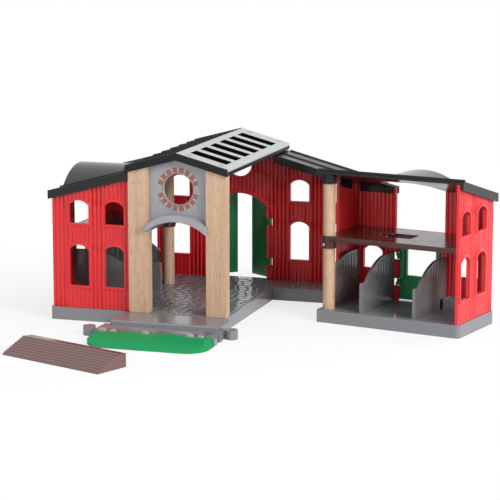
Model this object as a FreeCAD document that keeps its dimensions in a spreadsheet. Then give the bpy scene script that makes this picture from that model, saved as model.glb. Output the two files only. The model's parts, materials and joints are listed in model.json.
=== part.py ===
"""Toy horse stable: a fixed hall with two side wings that swing open on vertical pins.

Frame: X to the right, Y to the back, Z up, in millimetres. X = 0 is the plane of symmetry,
Y = 0 the front face of the pillars, Z = 0 the ground. Pieces that exist on both sides are
built once, on the right and closed, then mirrored or turned into place.
"""
import FreeCAD, Part
import math
import os
import re
import Sketcher

SIZES = [
    ("joined", 0.5, "how far parts of one moulding run into each other"),
    ("past", 2.0, "how far a cutter runs past the face that it cuts"),
    ("base_height", 12.0, "height of the floor mouldings, as the railway track"),
    ("deck", 2.6, "thickness of the floor above the hollow underside"),
    ("skirt", 2.4, "thickness of the walls and ribs under the floor"),
    ("wall", 3.2, "thickness of the red walls"),
    ("hall_half", 47.0, "half width of the hall floor, to the outer pillar faces"),
    ("hall_front", 2.0, "how far the hall floor runs out in front of the pillars"),
    ("split_y", 147.0, "front edge of the fixed back strip"),
    ("split_gap", 0.5, "gap between a closed wing and the back strip"),
    ("wing_gap", 1.0, "gap between a closed wing and the hall"),
    ("back_wall_y", 187.1, "inner face of the back wall"),
    ("outer_x", 123.6, "outer face of the outer walls"),
    ("base_margin", 2.75, "how far the floors run out past the walls"),
    ("front_wall_y", 3.6, "outer face of a wing's front wall"),
    ("front_margin", 1.3, "how far a wing floor runs out before its front wall"),
    ("corner_round", 4.0, "plan radius of the front corners of a wing floor"),
    ("porch_half", 51.5, "half width of the porch slab"),
    ("porch_front", 37.0, "front edge of the porch slab"),
    ("porch_bevel", 1.6, "bevel along the upper edges of the porch slab"),
    ("porch_peg", 9.0, "distance of the porch peg from the front edge"),
    ("track_half", 56.5, "half length of the front track"),
    ("track_depth", 25.0, "depth of the front track"),
    ("track_top", 8.6, "height of the front track"),
    ("groove_width", 3.0, "width of a wheel groove"),
    ("groove_depth", 2.6, "depth of a wheel groove"),
    ("groove_inset", 2.6, "distance of a wheel groove from the track edge"),
    ("peg_radius", 5.75, "radius of a track peg"),
    ("peg_reach", 10.0, "distance of a peg centre from the end of its piece"),
    ("neck_width", 6.4, "width of the neck of a track peg"),
    ("socket_fit", 0.55, "radial play of a peg in a track socket"),
    ("socket_inset", 14.0, "distance of the socket centre from the track end"),
    ("bank_depth", 34.5, "depth of the green bank"),
    ("bank_round", 20.0, "plan radius of the front corners of the bank"),
    ("bank_slope", 21.0, "horizontal run of the sloping front of the bank"),
    ("bank_shoulder", 4.0, "how much each end of the bank draws in towards its top"),
    ("stone_length", 9.6, "length of the largest stone on the bank"),
    ("stone_depth", 6.4, "depth of the largest stone"),
    ("stone_height", 3.4, "height of the largest stone"),
    ("stone_inset", 4.4, "distance of the stones from the track"),
    ("pillar_inner", 28.0, "inner face of the front pillars"),
    ("pillar_depth", 11.0, "depth of the front pillars"),
    ("panel_y", 5.2, "front face of the gable panel"),
    ("panel_thick", 3.0, "thickness of the gable panel"),
    ("arch_spring", 89.0, "height where the front arch starts"),
    ("arch_rise", 10.0, "rise of the front arch"),
    ("hood_thick", 6.4, "thickness of the hood over the front arch"),
    ("hood_reach", 6.0, "how far the hood stands out before the pillars"),
    ("hood_overlap", 1.2, "how far the hood covers each pillar"),
    ("hood_clear", 0.6, "gap between the hood and the ring of bricks"),
    ("gable_window_z", 127.7, "centre of the round window in the gable"),
    ("gable_window_radius", 14.2, "radius of the round window in the gable"),
    ("ring_trim", 1.1, "width of the raised rim round the gable window"),
    ("ring_proud", 0.6, "how far rim and bricks stand out"),
    ("brick_length", 4.4, "radial length of a brick"),
    ("brick_width", 4.5, "width of a brick along the ring"),
    ("brick_turn", 20.14, "turn from one brick to the next, in degrees"),
    ("ridge_z", 161.8, "top of the ridge"),
    ("roof_slope", 0.268, "fall of all roofs per length"),
    ("main_eave", 2.3, "how far the main roof runs out past the pillars"),
    ("roof_front", 2.5, "how far the main roof runs out in front"),
    ("roof_back", 5.2, "how far all roofs run out past the back wall"),
    ("roof_fit", 0.2, "play between the main roof's edges and the walls"),
    ("sheet", 2.2, "thickness of a roof sheet"),
    ("fascia", 6.8, "height of the roof edges"),
    ("fascia_wall", 2.0, "thickness of the roof edges"),
    ("cover", 1.0, "thickness of the skylight plate"),
    ("cover_lip", 1.2, "thickness of the skylight lip along the eave"),
    ("lip_depth", 5.8, "height of the skylight lip"),
    ("slot_inner", 6.8, "inner end of a skylight slot"),
    ("slot_outer", 7.4, "distance of a skylight slot from the eave"),
    ("slot_first", 17.2, "front edge of the first skylight slot"),
    ("slot_width", 18.4, "width of a skylight slot"),
    ("slot_pitch", 27.8, "distance from slot to slot"),
    ("small_slot_length", 5.6, "length of a small slot in the skylight"),
    ("small_slot_width", 2.6, "width of a small slot in the skylight"),
    ("small_slot_inner", 7.0, "distance of the inner small slots from the ridge"),
    ("small_slot_outer", 6.4, "distance of the outer small slots from the eave"),
    ("small_slot_end", 7.0, "distance of the small slots from the ends of the skylight"),
    ("roof_step", 7.5, "how much the wing roofs lie lower than the main roof"),
    ("wing_eave", 2.9, "how far the wing roofs run out past the outer walls"),
    ("wing_roof_front", 3.4, "how far a wing roof runs out before its front wall"),
    ("rim_x", 2.2, "distance of the upstanding rim from the inner edge of a wing roof"),
    ("rim_width", 1.8, "width of the upstanding rim"),
    ("rim_height", 3.0, "height of the upstanding rim above the sheet"),
    ("seam_pitch", 24.2, "distance between the standing seams"),
    ("seam_width", 1.6, "width of a standing seam"),
    ("seam_height", 1.3, "height of a standing seam"),
    ("dormer_y", 75.5, "middle of the barrel dormer"),
    ("dormer_radius", 60.0, "outer radius of the barrel dormer"),
    ("dormer_crown", 23.4, "drop from the ridge to the top of the barrel dormer"),
    ("dormer_shell", 2.0, "thickness of the barrel dormer"),
    ("dormer_lap", 1.0, "how far the barrel dormer laps over its hole in the roof"),
    ("dormer_end", 1.5, "distance of the barrel dormer from the eave"),
    ("vault_start", 20.0, "distance of the hole under the dormer from the rim"),
    ("window_width", 19.4, "width of the arched windows"),
    ("window_rise", 4.8, "rise of the arched windows"),
    ("near_window", 14.2, "middle of the inner window column, from a wing's inner edge"),
    ("far_window", 26.6, "middle of the outer window column, from the outer wall"),
    ("upper_sill", 91.9, "sill of the upper windows"),
    ("upper_spring", 108.5, "start of the arch of the upper windows"),
    ("lower_sill", 33.3, "sill of the lower windows"),
    ("lower_spring", 66.8, "start of the arch of the lower windows"),
    ("frame_width", 2.2, "width of a raised window frame"),
    ("frame_proud", 0.8, "how far a window frame stands out"),
    ("door_half", 28.2, "half width of the back doorway"),
    ("door_spring", 84.2, "height where the back doorway arch starts"),
    ("door_rise", 13.4, "rise of the back doorway arch"),
    ("back_window_z", 127.0, "centre of the round window in the back wall"),
    ("back_window_radius", 12.6, "radius of the round window in the back wall"),
    ("leaf_thick", 3.0, "thickness of a door leaf"),
    ("leaf_gap", 0.4, "gap between a closed leaf and the wall or its neighbour"),
    ("leaf_lift", 1.0, "gap under a door leaf"),
    ("leaf_border", 3.2, "width of the frame on a door leaf"),
    ("leaf_relief", 0.5, "depth of the sunk fields of a door leaf"),
    ("leaf_rail_z", 49.5, "middle of the rail across a back door leaf"),
    ("notch_width", 6.0, "width of a hinge notch in a door jamb"),
    ("notch_height", 7.0, "height of a hinge notch"),
    ("notch_low", 29.9, "middle of the lower hinge notch"),
    ("notch_high", 69.9, "middle of the upper hinge notch of the back doors"),
    ("stable_notch_high", 55.0, "middle of the upper hinge notch of the stable doors"),
    ("door_pin_inset", 2.4, "distance of a door's pivot from the jamb"),
    ("door_pin_radius", 1.0, "radius of a door's pivot pegs"),
    ("door_pin_seat", 2.5, "length of a pivot peg held in the wall"),
    ("arm_root", 2.0, "how far a hinge arm runs onto its leaf"),
    ("eye_play", 0.5, "play of a hinge arm in its notch, above and below"),
    ("pin_fit", 0.06, "radial play on a hinge pin or peg"),
    ("left_door_angle", 41.0, "opening of the left back door, in degrees"),
    ("right_door_angle", 34.0, "opening of the right back door, in degrees"),
    ("wing_angle", 77.4, "opening of the right wing, in degrees"),
    ("hinge_out", 9.2, "distance of the wing pivot from the outer walls"),
    ("ear_radius", 3.5, "radius of a hinge ear"),
    ("ear_web", 3.0, "thickness of the web of a hinge ear"),
    ("ear_height", 5.4, "height of a hinge ear"),
    ("ear_gap", 0.8, "gap between two hinge ears"),
    ("ear_clear", 0.25, "gap between a hinge ear and the split plane"),
    ("side_clear", 3.0, "gap between the split plane and the fixed side walls"),
    ("upper_ear_z", 25.0, "drop from the top of the outer wall to the upper hinge"),
    ("pin_radius", 1.5, "radius of a wing pin"),
    ("rear_wall_inner", 38.6, "inner end of a wing's rear wall, from the outer face"),
    ("rear_slit", 0.8, "slit between a wing's rear wall and outer wall"),
    ("rear_inset", 0.3, "distance of a wing's rear wall from the wing's rear edge"),
    ("wing_mid", 76.0, "middle of the openings in a wing's outer wall"),
    ("loft_door_half", 25.5, "half width of the loft opening"),
    ("stable_door_half", 22.0, "half width of the stable doorway"),
    ("stable_spring", 64.5, "height where the stable doorway arch starts"),
    ("stable_rise", 6.0, "rise of the stable doorway arch"),
    ("side_window_near", 39.0, "inner edge of a side window from the middle"),
    ("side_window_width", 20.0, "width of a side window"),
    ("side_sill", 41.0, "sill of a side window"),
    ("side_spring", 58.0, "start of the arch of a side window"),
    ("view_half", 15.0, "half width of the window in a stable door"),
    ("view_sill", 36.5, "sill of the window in a stable door"),
    ("view_height", 26.0, "height of the window in a stable door"),
    ("loft_z", 81.0, "top of the loft floor"),
    ("loft_thick", 4.8, "thickness of the loft floor"),
    ("loft_inner", 3.5, "inner edge of the loft floor, from a wing's inner edge"),
    ("hatch_x", 28.0, "inner edge of the loft hatch, from a wing's inner edge"),
    ("hatch_length", 20.0, "length of the loft hatch"),
    ("hatch_y", 65.0, "front edge of the loft hatch"),
    ("hatch_width", 25.0, "width of the loft hatch"),
    ("hatch_wedge", 10.0, "depth of the ladder notch behind the hatch"),
    ("wedge_mouth", 8.0, "width of the ladder notch at the hatch"),
    ("wedge_end", 4.0, "width of the ladder notch at its end"),
    ("post_x", 10.0, "post, distance from a wing's inner edge"),
    ("post_y", 7.5, "post, distance from a wing's rear edge"),
    ("post_radius", 5.75, "radius of the post"),
    ("collar_radius", 7.2, "outer radius of the collars on the post"),
    ("loft_collar", 7.0, "height of the loft collar below the loft floor"),
    ("roof_collar", 7.0, "height of the roof collar below the roof sheet"),
    ("divider_thick", 3.0, "thickness of a stall divider"),
    ("divider_top", 58.8, "height of a stall divider at the wall"),
    ("divider_low", 38.4, "height of a stall divider at its front post"),
    ("divider_front", 5.0, "front end of a stall divider, from a wing's inner edge"),
    ("divider_level", 24.6, "start of the level part of a divider, from the outer face"),
    ("divider_curve", 56.0, "radius of the sloping top of a stall divider"),
    ("divider_post", 5.4, "width of the front post of a stall divider"),
    ("divider_crown", 3.35, "radius of the round top of the front post"),
    ("divider_step", 1.0, "step from the front post down to the sloping top"),
    ("divider_ledge", 3.0, "level stretch between the front post and the slope"),
    ("divider_short", 9.0, "gap from the post's middle to the divider beside it"),
    ("divider_rear_y", 140.3, "middle of the rear stall divider"),
    ("divider_mid_y", 103.4, "middle of the second stall divider"),
    ("divider_near_y", 49.6, "middle of the front stall divider"),
    ("slat_first", 13.0, "first slat, from the start of the level part"),
    ("slat_width", 2.0, "width of a raised slat on a stall divider"),
    ("slat_pitch", 5.6, "distance between the slats"),
    ("slat_proud", 0.6, "how far a slat stands out"),
    ("slat_sill", 33.0, "lower end of a slat"),
    ("slat_drop", 2.2, "distance of a slat's upper end from the divider's top"),
    ("slat_fall", 4.0, "how much lower the first slat ends"),
    ("trough_length", 36.0, "length of the feed trough"),
    ("trough_width", 15.0, "width of the feed trough"),
    ("trough_height", 10.5, "height of the feed trough"),
    ("trough_wall", 1.8, "thickness of the feed trough"),
    ("trough_y", 2.2, "distance of the feed trough from the front wall"),
    ("clip_drop", 6.0, "height of the roof clips inside the walls"),
    ("clip_thick", 1.6, "thickness of the roof clips"),
    ("wall_clip_length", 23.4, "length of the roof clip along the rear wall"),
    ("side_clip_length", 34.0, "length of the roof clip along the outer wall"),
    ("side_clip_start", 3.0, "distance of that clip from the loft opening"),
    ("ramp_x", -108.8, "low left corner of the loading ramp"),
    ("ramp_y", -146.0, "low left corner of the loading ramp"),
    ("ramp_turn", -21.64, "direction of the loading ramp, in degrees"),
    ("ramp_length", 113.4, "length of the loading ramp"),
    ("ramp_depth", 34.85, "depth of the loading ramp"),
    ("ramp_flat", 9.4, "level top of the loading ramp"),
    ("ramp_toe", 1.0, "height of the low edge of the loading ramp"),
    ("rib_width", 2.3, "width of a rib on the loading ramp"),
    ("rib_height", 0.6, "height of a rib on the loading ramp"),
]

ALIASES = {alias for alias, value, meaning in SIZES}
BRICKS_PER_HALF = 8
SLOT_COUNT = 6
SLAT_COUNT = 5
RAMP_RIBS = 8
# Stones on the bank: name, place as a share of half the track, size against the largest.
STONES = (
    ("left", -0.84, 1.0),
    ("left_small", -0.66, 0.8),
    ("middle", -0.12, 0.9),
    ("right", 0.62, 1.0),
    ("right_small", 0.8, 0.75),
)
# Plan of a stone, as shares of half its length and half its depth.
STONE_PLAN = ((-1, -0.2), (-0.4, -1), (0.6, -0.8), (1, 0.1), (0.45, 0.9), (-0.6, 0.8))
# A stone's top has this share of the size of its foot.
STONE_CROWN = 0.6
# The bank bulges: this share of the way up its slope in height it has gone this share back.
BANK_MID_HEIGHT = 0.6
BANK_MID_RUN = 0.4

doc = FreeCAD.newDocument("toy_horse_stable")
sheet = doc.addObject("Spreadsheet::Sheet", "Size")
for row, (alias, value, meaning) in enumerate(SIZES, start=1):
    sheet.set(f"A{row}", meaning)
    sheet.set(f"B{row}", str(value))
    sheet.setAlias(f"B{row}", alias)
doc.recompute()

NODES = []

PLANES = {
    "XY": (FreeCAD.Rotation(), FreeCAD.Vector(0, 0, 1), "z"),
    "XZ": (FreeCAD.Rotation(FreeCAD.Vector(1, 0, 0), 90), FreeCAD.Vector(0, 1, 0), "y"),
    "YZ": (FreeCAD.Rotation(FreeCAD.Vector(1, 1, 1), 120), FreeCAD.Vector(1, 0, 0), "x"),
}
CYLINDER_TURN = {
    "x": FreeCAD.Rotation(FreeCAD.Vector(0, 1, 0), 90),
    "y": FreeCAD.Rotation(FreeCAD.Vector(1, 0, 0), -90),
    "z": FreeCAD.Rotation(),
}


def sized(text):
    """Turn a formula of size names into an expression on the sheet."""
    def word(match):
        name = match.group()
        return "Size." + name if name in ALIASES else name
    return re.sub(r"[a-z_][a-z_0-9]*", word, str(text))


def number(text):
    """Value of a formula with the sizes as they stand."""
    return float(sheet.evalExpression(sized(text)))


def bind(feature, prop, text):
    """Tie a property to a formula of sizes."""
    feature.setExpression(prop, sized(text))


def place(feature, x, y, z):
    """Tie the position of a feature to three formulas."""
    bind(feature, "Placement.Base.x", x)
    bind(feature, "Placement.Base.y", y)
    bind(feature, "Placement.Base.z", z)
    return feature


def arc_through(here, there, radius, left):
    """Arc from one point to another that turns left or right."""
    chord = there - here
    depth = math.sqrt(max(radius ** 2 - (chord.Length / 2) ** 2, 0.0))
    normal = FreeCAD.Vector(-chord.y, chord.x, 0).normalize()
    centre = (here + there) * 0.5 + normal * (depth if left else -depth)
    start, stop = (here, there) if left else (there, here)
    turn_start = math.atan2(start.y - centre.y, start.x - centre.x)
    turn_stop = math.atan2(stop.y - centre.y, stop.x - centre.x)
    circle = Part.Circle(centre, FreeCAD.Vector(0, 0, 1), radius)
    return Part.ArcOfCircle(circle, turn_start, turn_stop)


def draw(sketch, corners):
    """Draw a closed outline. A corner (u, v) starts a line to the next corner, a corner
    (u, v, radius, turn) an arc that turns left or right."""
    points = [FreeCAD.Vector(number(c[0]), number(c[1]), 0) for c in corners]
    first = sketch.GeometryCount
    ends = []
    for index, corner in enumerate(corners):
        here = points[index]
        there = points[(index + 1) % len(points)]
        if len(corner) == 2:
            sketch.addGeometry(Part.LineSegment(here, there), False)
            ends.append((1, 2))
            continue
        left = corner[3] == "left"
        sketch.addGeometry(arc_through(here, there, number(corner[2]), left), False)
        ends.append((1, 2) if left else (2, 1))
    for index in range(len(corners)):
        following = (index + 1) % len(corners)
        edges = (first + index, ends[index][1], first + following, ends[following][0])
        sketch.addConstraint(Sketcher.Constraint("Coincident", *edges))
    for index, corner in enumerate(corners):
        places = (("DistanceX", corner[0], points[index].x), ("DistanceY", corner[1], points[index].y))
        for kind, text, value in places:
            rule = Sketcher.Constraint(kind, -1, 1, first + index, ends[index][0], value)
            bind(sketch, f"Constraints[{sketch.addConstraint(rule)}]", text)
        if len(corner) == 4:
            rule = Sketcher.Constraint("Radius", first + index, number(corner[2]))
            bind(sketch, f"Constraints[{sketch.addConstraint(rule)}]", corner[2])


def outline(name, plane, start, corners):
    """Sketch of a closed outline on a plane at a given distance."""
    sketch = doc.addObject("Sketcher::SketchObject", name + "_outline")
    turn, direction, letter = PLANES[plane]
    sketch.Placement = FreeCAD.Placement(FreeCAD.Vector(), turn)
    bind(sketch, "Placement.Base." + letter, start)
    draw(sketch, corners)
    return sketch


def prism(name, plane, start, depth, corners):
    """Solid from an outline, drawn out along the plane's axis."""
    solid = doc.addObject("Part::Extrusion", name)
    solid.Base = outline(name, plane, start, corners)
    solid.DirMode = "Custom"
    solid.Dir = PLANES[plane][1]
    bind(solid, "LengthFwd", depth)
    solid.Solid = True
    return solid


def box(name, corner, lengths):
    """Block from its low corner and its three lengths."""
    block = doc.addObject("Part::Box", name)
    for prop, text in zip(("Length", "Width", "Height"), lengths):
        bind(block, prop, text)
    return place(block, *corner)


def cylinder(name, axis, start, radius, height):
    """Round bar that starts at a point and runs along an axis."""
    bar = doc.addObject("Part::Cylinder", name)
    bind(bar, "Radius", radius)
    bind(bar, "Height", height)
    bar.Placement = FreeCAD.Placement(FreeCAD.Vector(), CYLINDER_TURN[axis])
    return place(bar, *start)


def group(name, shapes):
    """Several solids kept side by side as one feature."""
    feature = doc.addObject("Part::Compound", name)
    feature.Links = shapes
    return feature


def fuse(name, *shapes):
    """Union of solids."""
    feature = doc.addObject("Part::MultiFuse", name)
    feature.Shapes = list(shapes)
    feature.Refine = True
    return feature


def common(name, first, second):
    """What two solids share."""
    feature = doc.addObject("Part::Common", name)
    feature.Base = first
    feature.Tool = second
    return feature


def cut(name, body, *tools):
    """A solid with other solids taken away; the tools do not overlap."""
    feature = doc.addObject("Part::Cut", name)
    feature.Base = body
    feature.Tool = tools[0] if len(tools) == 1 else group(name + "_tools", list(tools))
    return feature


def mirrored(name, source):
    """Mirror image across the plane of symmetry."""
    feature = doc.addObject("Part::Mirroring", name)
    feature.Source = source
    feature.Normal = FreeCAD.Vector(1, 0, 0)
    return feature


def moved(name, source, shift=("0", "0"), angle="0", axis=("0", "0")):
    """Copy shifted in plan and turned about a vertical axis."""
    feature = doc.addObject("Part::Compound", name)
    feature.Links = [source]
    vector = "create(<<vector>>; {}; {}; 0)"
    turn = f"create(<<rotation>>; create(<<vector>>; 0; 0; 1); {angle})"
    parts = "; ".join((vector.format(*shift), turn, vector.format(*axis)))
    bind(feature, "Placement", f"create(<<placement>>; {parts})")
    return feature


def node(feature, label):
    """Note a finished piece under the name of its file."""
    feature.Label = label
    NODES.append(feature)
    return feature


def both_sides(name, form):
    """Keep the right-hand form and its mirror image as two fixed pieces."""
    node(moved("right_" + name, form), "right_" + name)
    node(mirrored("left_" + name, form), "left_" + name)


def wing_piece(name, form):
    """Left piece mirrored and closed, right piece turned with its open wing."""
    turned = moved("right_" + name, form, angle="wing_angle", axis=(PIVOT_X, PIVOT_Y))
    node(turned, "right_" + name)
    node(mirrored("left_" + name, form), "left_" + name)


def main_top(x):
    """Height of the main roof surface at a distance from the ridge."""
    return f"(ridge_z - roof_slope * ({x}))"


def main_under(x):
    """Underside of the main roof sheet."""
    return f"(ridge_z - cover - sheet - roof_slope * ({x}))"


def wing_top(x):
    """Height of the wing roof surface."""
    return f"(ridge_z - roof_step - roof_slope * ({x}))"


def wing_under(x):
    """Underside of the wing roof sheet."""
    return f"(ridge_z - roof_step - sheet - roof_slope * ({x}))"


def arc_radius(half, rise):
    """Radius of an arch from half its width and its rise."""
    return f"((({half})^2 + ({rise})^2) / (2 * ({rise})))"


def arched(name, plane, span, middle, half, sill, spring, rise):
    """Solid with an arched top, for windows, frames and doorways; span is start and depth."""
    corners = [
        (f"{middle} - ({half})", sill),
        (f"{middle} + ({half})", sill),
        (f"{middle} + ({half})", spring, arc_radius(half, rise), "left"),
        (f"{middle} - ({half})", spring),
    ]
    return prism(name, plane, *span, corners)


PIVOT_X = "(outer_x + hinge_out)"
PIVOT_Y = "(split_y - split_gap / 2)"
WING_INNER = "(hall_half + wing_gap)"
WING_REAR = "(split_y - split_gap)"
WING_FRONT = "(front_wall_y - wing_roof_front)"
BASE_OUTER = "(outer_x + base_margin)"
BASE_BACK = "(back_wall_y + wall + base_margin)"
BASE_FRONT = "(front_wall_y - front_margin)"
FRONT_INNER = "(front_wall_y + wall)"
BACK_OUTER = "(back_wall_y + wall)"
REAR_OUTER = "(split_y - split_gap - rear_inset)"
REAR_INNER = "(split_y - split_gap - rear_inset - wall)"
REAR_WALL_X = "(outer_x - rear_wall_inner)"
SIDE_START = "(split_y + side_clear)"
INNER_X = "(outer_x - wall)"
POST_X = "(hall_half + wing_gap + post_x)"
POST_Y = "(split_y - split_gap - post_y)"
DOOR_PIN_X = "(door_half + door_pin_inset)"
DOOR_PIN_Y = "(back_wall_y + wall / 2)"
STABLE_PIN_X = "(outer_x - wall / 2)"
STABLE_PIN_Y = "(wing_mid + stable_door_half + door_pin_inset)"
UPPER_EAR = f"({wing_under('outer_x')} - upper_ear_z)"
UPPER_WING_EAR = f"({UPPER_EAR} + ear_height + ear_gap)"
LOW_WING_EAR = "(ear_height + ear_gap)"
MAIN_EAVE = "(hall_half + main_eave)"
ROOF_BACK = "(back_wall_y + wall + roof_back)"
WING_EAVE = "(outer_x + wing_eave)"
RIM_X = "(hall_half + wing_gap + rim_x)"

# Floors


def floor_cells(name, corner, span, columns, rows):
    """Hollows under a floor, in a grid with ribs between them."""
    width = f"(({span[0]} - {columns + 1} * skirt) / {columns})"
    depth = f"(({span[1]} - {rows + 1} * skirt) / {rows})"
    cells = []
    for column in range(columns):
        for row in range(rows):
            x = f"{corner[0]} + skirt + {column} * ({width} + skirt)"
            y = f"{corner[1]} + skirt + {row} * ({depth} + skirt)"
            sizes = (width, depth, "base_height - deck")
            cells.append(box(f"{name}_{column}_{row}", (x, y, "0"), sizes))
    return group(name, cells)


def fixed_ear(name, wall_x, link_y, z, pin_height):
    """Hinge ear of the fixed part: an arm with a standing pin, and a link to its wall or floor."""
    start = f"({PIVOT_Y} - ear_radius)"
    depth = f"({link_y} + ear_web - {start})"
    arm_low = f"({PIVOT_X} - ear_radius)"
    arm = box(name + "_arm", (arm_low, start, z), ("2 * ear_radius", depth, "ear_height"))
    link_low = f"({wall_x} - joined)"
    reach = f"{arm_low} - {link_low} + joined"
    link = box(name + "_link", (link_low, link_y, z), (reach, "ear_web", "ear_height"))
    pin_start = (PIVOT_X, PIVOT_Y, f"{z} + ear_height - joined")
    pin = cylinder(name + "_pin", "z", pin_start, "pin_radius", f"{pin_height} + joined")
    return fuse(name, arm, link, pin)


def wing_ear(name, wall_x, z, height):
    """Hinge ear of a wing, round about the pivot, with a web back to its wall or floor."""
    eye = cylinder(name + "_eye", "z", (PIVOT_X, PIVOT_Y, z), "ear_radius", height)
    low = f"({wall_x} - joined)"
    web_y = f"{WING_REAR} - ear_web"
    web = box(name + "_web", (low, web_y, z), (f"{PIVOT_X} - {low}", "ear_web", height))
    return fuse(name, eye, web)


def ear_hole(name, z, height):
    """Hole for a wing pin, right through the ear of a wing."""
    start = (PIVOT_X, PIVOT_Y, f"{z} - past")
    return cylinder(name, "z", start, "pin_radius + pin_fit", f"{height} + 2 * past")


hall_corner = ("-hall_half", "-hall_front", "0")
hall_span = ("2 * hall_half", "split_y + hall_front")
hall_floor = box("hall_floor", hall_corner, hall_span + ("base_height",))
node(cut("main_base", hall_floor, floor_cells("hall_cells", hall_corner, hall_span, 3, 4)), "main_base")

strip_corner = (f"-{BASE_OUTER}", "split_y", "0")
strip_span = (f"2 * {BASE_OUTER}", f"{BASE_BACK} - split_y")
strip_floor = box("strip_floor", strip_corner, strip_span + ("base_height",))
strip_hollow = cut("strip_hollow", strip_floor, floor_cells("strip_cells", strip_corner, strip_span, 7, 1))
LOW_PIN = "(base_height - ear_height)"
base_ear = fixed_ear("base_ear", BASE_OUTER, "(split_y + ear_clear)", "0", LOW_PIN)
node(fuse("back_base", strip_hollow, base_ear, mirrored("base_ear_left", base_ear)), "back_base")

wing_plan = [
    (f"{WING_INNER} + corner_round", BASE_FRONT),
    (f"{BASE_OUTER} - corner_round", BASE_FRONT, "corner_round", "left"),
    (BASE_OUTER, f"{BASE_FRONT} + corner_round"),
    (BASE_OUTER, WING_REAR),
    (WING_INNER, WING_REAR),
    (WING_INNER, f"{BASE_FRONT} + corner_round", "corner_round", "left"),
]
wing_floor = prism("wing_floor", "XY", "0", "base_height", wing_plan)
wing_corner = (WING_INNER, f"({BASE_FRONT} + corner_round)")
wing_span = (f"({BASE_OUTER} - {WING_INNER})", f"({WING_REAR} - {BASE_FRONT} - corner_round)")
wing_hollow = cut("wing_hollow", wing_floor, floor_cells("wing_cells", wing_corner, wing_span, 2, 4))
low_ear_height = f"(base_height - {LOW_WING_EAR})"
low_ear = wing_ear("low_ear", BASE_OUTER, LOW_WING_EAR, low_ear_height)
low_ear_hole = ear_hole("low_ear_hole", LOW_WING_EAR, low_ear_height)
wing_piece("wing_base", cut("wing_base_form", fuse("wing_eared", wing_hollow, low_ear), low_ear_hole))

# Porch, track, bank

slab_profile = [
    ("-porch_half", "0"),
    ("porch_half", "0"),
    ("porch_half", "base_height - porch_bevel"),
    ("porch_half - porch_bevel", "base_height"),
    ("-porch_half + porch_bevel", "base_height"),
    ("-porch_half", "base_height - porch_bevel"),
]
slab_side = [
    ("-porch_front", "0"),
    ("-hall_front", "0"),
    ("-hall_front", "base_height"),
    ("-porch_front + porch_bevel", "base_height"),
    ("-porch_front", "base_height - porch_bevel"),
]
slab_long = prism("slab_long", "XZ", "-porch_front", "porch_front - hall_front", slab_profile)
slab_across = prism("slab_across", "YZ", "-porch_half", "2 * porch_half", slab_side)
slab = common("slab", slab_long, slab_across)
slab_peg_y = "(porch_peg - porch_front)"
neck_corner = ("porch_half - joined", f"{slab_peg_y} - neck_width / 2", "0")
slab_neck = box("slab_neck", neck_corner, ("peg_reach + joined", "neck_width", "track_top"))
peg_start = ("porch_half + peg_reach", slab_peg_y, "0")
slab_peg = cylinder("slab_peg", "z", peg_start, "peg_radius", "track_top")
node(fuse("porch_slab", slab, slab_neck, slab_peg), "porch_slab")

TRACK_FRONT = "(porch_front + track_depth)"
TRACK_MID = "(porch_front + track_depth / 2)"
GROOVE_FLOOR = "(track_top - groove_depth)"
track_profile = [
    (f"-{TRACK_FRONT}", "0"),
    ("-porch_front", "0"),
    ("-porch_front", "track_top"),
    ("-porch_front - groove_inset", "track_top"),
    ("-porch_front - groove_inset", GROOVE_FLOOR),
    ("-porch_front - groove_inset - groove_width", GROOVE_FLOOR),
    ("-porch_front - groove_inset - groove_width", "track_top"),
    (f"-{TRACK_FRONT} + groove_inset + groove_width", "track_top"),
    (f"-{TRACK_FRONT} + groove_inset + groove_width", GROOVE_FLOOR),
    (f"-{TRACK_FRONT} + groove_inset", GROOVE_FLOOR),
    (f"-{TRACK_FRONT} + groove_inset", "track_top"),
    (f"-{TRACK_FRONT}", "track_top"),
]
track_bar = prism("track_bar", "YZ", "-track_half", "2 * track_half", track_profile)
track_neck_corner = ("-track_half - peg_reach", f"-{TRACK_MID} - neck_width / 2", "0")
track_neck = box("track_neck", track_neck_corner, ("peg_reach + joined", "neck_width", GROOVE_FLOOR))
track_peg_start = ("-track_half - peg_reach", f"-{TRACK_MID}", "0")
track_peg = cylinder("track_peg", "z", track_peg_start, "peg_radius", "track_top")
track_solid = fuse("track_solid", track_bar, track_neck, track_peg)
SOCKET_X = "(track_half - socket_inset)"
SOCKET_TALL = "track_top + 2 * past"
socket_width = "(neck_width + 2 * socket_fit)"
socket_start = (SOCKET_X, f"-{TRACK_MID}", "-past")
socket_round = cylinder("socket_round", "z", socket_start, "peg_radius + socket_fit", SOCKET_TALL)
socket_corner = (SOCKET_X, f"-{TRACK_MID} - {socket_width} / 2", "-past")
socket_slot = box("socket_slot", socket_corner, ("socket_inset + past", socket_width, SOCKET_TALL))
node(cut("front_track", track_solid, fuse("socket_cutter", socket_round, socket_slot)), "front_track")

BANK_FRONT = "(porch_front + track_depth + bank_depth)"
bank_corners = [
    ("-track_half", f"-{TRACK_FRONT}"),
    ("-track_half", f"-{BANK_FRONT} + bank_round", "bank_round", "left"),
    ("-track_half + bank_round", f"-{BANK_FRONT}"),
    ("track_half - bank_round", f"-{BANK_FRONT}", "bank_round", "left"),
    ("track_half", f"-{BANK_FRONT} + bank_round"),
    ("track_half", f"-{TRACK_FRONT}"),
]
bank_front = [
    (f"-{BANK_FRONT}", "0"),
    (f"-{TRACK_FRONT}", "0"),
    (f"-{TRACK_FRONT}", "track_top"),
    (f"-{BANK_FRONT} + bank_slope", "track_top"),
    (f"-{BANK_FRONT} + bank_slope * {BANK_MID_RUN}", f"track_top * {BANK_MID_HEIGHT}"),
]
bank_ends = [
    ("-track_half", "0"),
    ("track_half", "0"),
    ("track_half - bank_shoulder", "track_top"),
    ("-track_half + bank_shoulder", "track_top"),
]
bank_block = prism("bank_block", "XY", "0", "track_top", bank_corners)
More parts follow.
